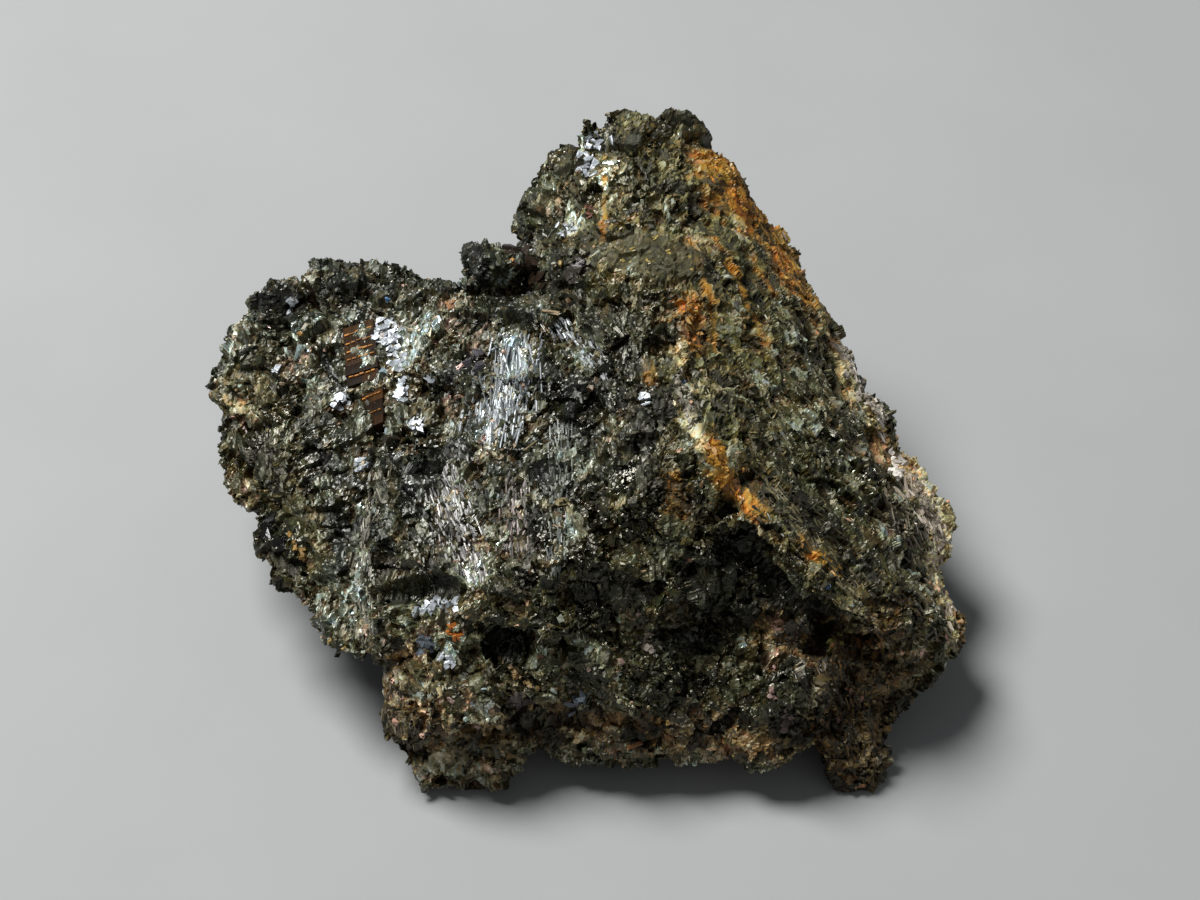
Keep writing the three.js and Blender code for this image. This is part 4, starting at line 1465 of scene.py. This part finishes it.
class NUUMMITE_OT_faces(bpy.types.Operator):
    """Sets the mirror faces, the coloured crystals and the small bright flecks"""

    bl_idname = "nuummite.faces"
    bl_label = "Crystal faces"

    def execute(self, context):
        surface = Surface(bpy.data.objects[SKIN])
        draw = np.random.default_rng(settings().grains.seed + 1)
        material = bpy.data.materials["single_crystals"]
        mirrors, crystals, flecks = CrystalMesh(), CrystalMesh(), CrystalMesh()
        look = Look(MIRROR_BLUE_AND_HIGHLIGHT, 0.36, 0.25)
        for corners in MIRROR_PATCHES:
            lay_plates(
                mirrors, surface, corners, look, MIRROR_SIZE * MM, draw, MIRROR_LEAN,
                MIRROR_JITTER, MIRROR_HIGHLIGHT_FADE,
            )
        for patch in CRYSTALS:
            look = Look(patch.colour, patch.rough, 0.0, 0.3)
            lay_plates(crystals, surface, patch.corners, look, patch.face * MM, draw, patch.lean)
        for family in FLECKS:
            look = Look(family.colour, 0.4)
            for x, y in family.places:
                corners = [(x - 2, y - 2), (x + 2, y - 2), (x + 2, y + 2), (x - 2, y + 2)]
                lay_plates(flecks, surface, corners, look, family.size * MM, draw)
        mirrors.piece("mirror_faces", material)
        crystals.piece("coloured_crystals", material)
        flecks.piece("bright_flecks", material)
        return {"FINISHED"}


class NUUMMITE_OT_ladder(bpy.types.Operator):
    """Sets the brown lath with orange lines across it"""

    bl_idname = "nuummite.ladder"
    bl_label = "Ladder lath"

    def execute(self, context):
        surface = Surface(bpy.data.objects[SKIN])
        draw = np.random.default_rng(settings().grains.seed + 2)
        lath = CrystalMesh()
        for ends, width in LADDER_LENGTHS:
            start, end = (surface.near(pixel)[0] for pixel in ends)
            up = surface.mean_normal((start + end) / 2, LADDER_REACH * MM)
            along = end - start
            along -= up * along.dot(up)
            across = up.cross(along).normalized() * width * MM / 2
            base = (start + end) / 2 - along / 2 + up * BLOCK_LIFT * MM
            lay_blocks(lath, base, along, across, up, draw)
            lay_lines(lath, base, along, across, up, draw)
        lath.piece("ladder_lath", bpy.data.materials["single_crystals"])
        return {"FINISHED"}


def lay_blocks(lath, base, along, across, up, draw):
    """The short brown blocks, end to end in two rows, that one length of the lath is made of."""
    for step in range(LADDER_STEPS):
        for side, width in ((-0.5, 0.62), (0.45, 0.6)):
            lift = up * draw.uniform(-0.03, 0.01) * MM
            low = along * (step + draw.uniform(-0.1, 0.1)) / LADDER_STEPS
            high = along * (step + 1 + draw.uniform(-0.05, 0.15)) / LADDER_STEPS
            left = across * (side - width * draw.uniform(0.8, 1.05))
            right = across * (side + width * draw.uniform(0.8, 1.05))
            outline = [low + left, low + right, high + right, high + left]
            outline = [base + lift + corner for corner in outline]
            tilted = shaken(up, 0.06, draw)
            colour = Vector(LADDER_BROWN).lerp(Vector(LADDER_PATCH), draw.uniform(0, 1) ** 2)
            lath.slab(outline, tilted, BLOCK_DEPTH * MM, Look(colour, 0.55, 0.0, 0.06), along)


def lay_lines(lath, base, along, across, up, draw):
    """The orange lines, each in short parts, that cross one length of the lath."""
    eye = camera_place()[0]
    for pixel in LADDER_LINES:
        ray = pixel_ray(pixel)
        spot = eye + ray * ((base - eye).dot(up) / ray.dot(up))
        share = (spot - base).dot(along) / along.length_squared
        if not 0.02 < share < 0.98:
            continue
        middle = base + along * share + up * LINE_LIFT * MM
        for part in range(LINE_PARTS):
            left = across * (-0.95 + 0.37 * part + draw.uniform(0, 0.08))
            right = across * (-0.65 + 0.37 * part + draw.uniform(0, 0.1))
            bend = along * draw.uniform(-0.012, 0.012)
            start, end = middle + left + bend, middle + right + bend
            outline = lath_outline(start, end, up, draw.uniform(*LINE_WIDTHS) * MM, draw)
            look = Look(Vector(LADDER_ORANGE) * draw.uniform(0.5, 1.1), 0.5, 0.0, 0.2)
            lath.slab(outline, up, LINE_DEPTH * MM, look, across)


# The stage


class NUUMMITE_OT_studio(bpy.types.Operator):
    """Sets the floor, the lights and the camera"""

    bl_idname = "nuummite.studio"
    bl_label = "Studio"

    def execute(self, context):
        studio = settings().studio
        make_floor(studio)
        make_light("key", studio.key_power, KEY_DIRECTION, KEY_DISTANCE, KEY_WIDTH)
        make_light("fill", studio.fill_power, FILL_DIRECTION, FILL_DISTANCE, FILL_WIDTH)
        make_world(studio)
        make_camera(studio)
        context.scene.view_settings.view_transform = "Standard"
        return {"FINISHED"}


def make_floor(studio):
    bpy.ops.mesh.primitive_plane_add(size=studio.floor_size)
    floor = bpy.context.object
    floor.name = "floor"
    material, tree, shader = new_material("pale_floor", Roughness=0.85)
    place = add(tree, "ShaderNodeTexCoord").outputs["Object"]
    mottle = noise(tree, place, 90.0, 3.0)[0]
    feed(tree, shader, {"Base Color": blend(tree, mottle, FLOOR_DARK, FLOOR_LIGHT)})
    floor.data.materials.append(material)


def make_light(name, power, direction, distance, size):
    light = bpy.data.lights.new(name, "AREA")
    light.shape = "DISK"
    light.energy = power
    light.size = size
    lamp = put(name, light)
    lamp.location = AIM + direction.normalized() * distance
    lamp.rotation_mode = "QUATERNION"
    lamp.rotation_quaternion = direction.to_track_quat("Z", "Y")


def make_world(studio):
    world = bpy.data.worlds.new("soft_light")
    world.use_nodes = True
    background = world.node_tree.nodes["Background"]
    background.inputs["Color"].default_value = SKY
    background.inputs["Strength"].default_value = studio.world
    bpy.context.scene.world = world


def make_camera(studio):
    data = bpy.data.cameras.new("camera")
    data.lens = studio.lens
    data.sensor_width = SENSOR_WIDTH
    data.clip_start = 1 * MM
    camera = put("camera", data)
    camera.location = camera_place()[0]
    camera.rotation_mode = "QUATERNION"
    camera.rotation_quaternion = (AIM - camera_place()[0]).to_track_quat("-Z", "Y")
    bpy.context.scene.camera = camera


# The add-on


class NuummiteSettings(bpy.types.PropertyGroup):
    skin: PointerProperty(type=StoneSkin, name="Skin", description="The stone's skin")
    colours: PointerProperty(type=StoneColours, name="Colours", description="Its colours")
    grains: PointerProperty(type=StoneGrains, name="Grains", description="Its loose grains")
    studio: PointerProperty(type=StudioSetup, name="Studio", description="Camera and light")


class NUUMMITE_PT_panel(bpy.types.Panel):
    bl_label = "Nuummite"
    bl_idname = "NUUMMITE_PT_panel"
    bl_space_type = "VIEW_3D"
    bl_region_type = "UI"
    bl_category = "Nuummite"

    def draw(self, context):
        for operator in OPERATORS:
            self.layout.operator(operator.bl_idname)


OPERATORS = (
    NUUMMITE_OT_studio, NUUMMITE_OT_skin, NUUMMITE_OT_grains, NUUMMITE_OT_fibres,
    NUUMMITE_OT_faces, NUUMMITE_OT_ladder,
)
CLASSES = (
    StoneSkin, StoneColours, StoneGrains, StudioSetup, NuummiteSettings, *OPERATORS,
    NUUMMITE_PT_panel,
)


def register():
    for item in CLASSES:
        bpy.utils.register_class(item)
    bpy.types.Scene.nuummite = PointerProperty(type=NuummiteSettings)


def unregister():
    del bpy.types.Scene.nuummite
    for item in reversed(CLASSES):
        bpy.utils.unregister_class(item)


def main():
    register()
    bpy.ops.nuummite.studio()
    bpy.ops.nuummite.skin()
    bpy.ops.nuummite.grains()
    bpy.ops.nuummite.fibres()
    bpy.ops.nuummite.faces()
    bpy.ops.nuummite.ladder()
    bpy.data.objects.remove(bpy.data.objects[SKIN])


if __name__ == "__main__":
    main()
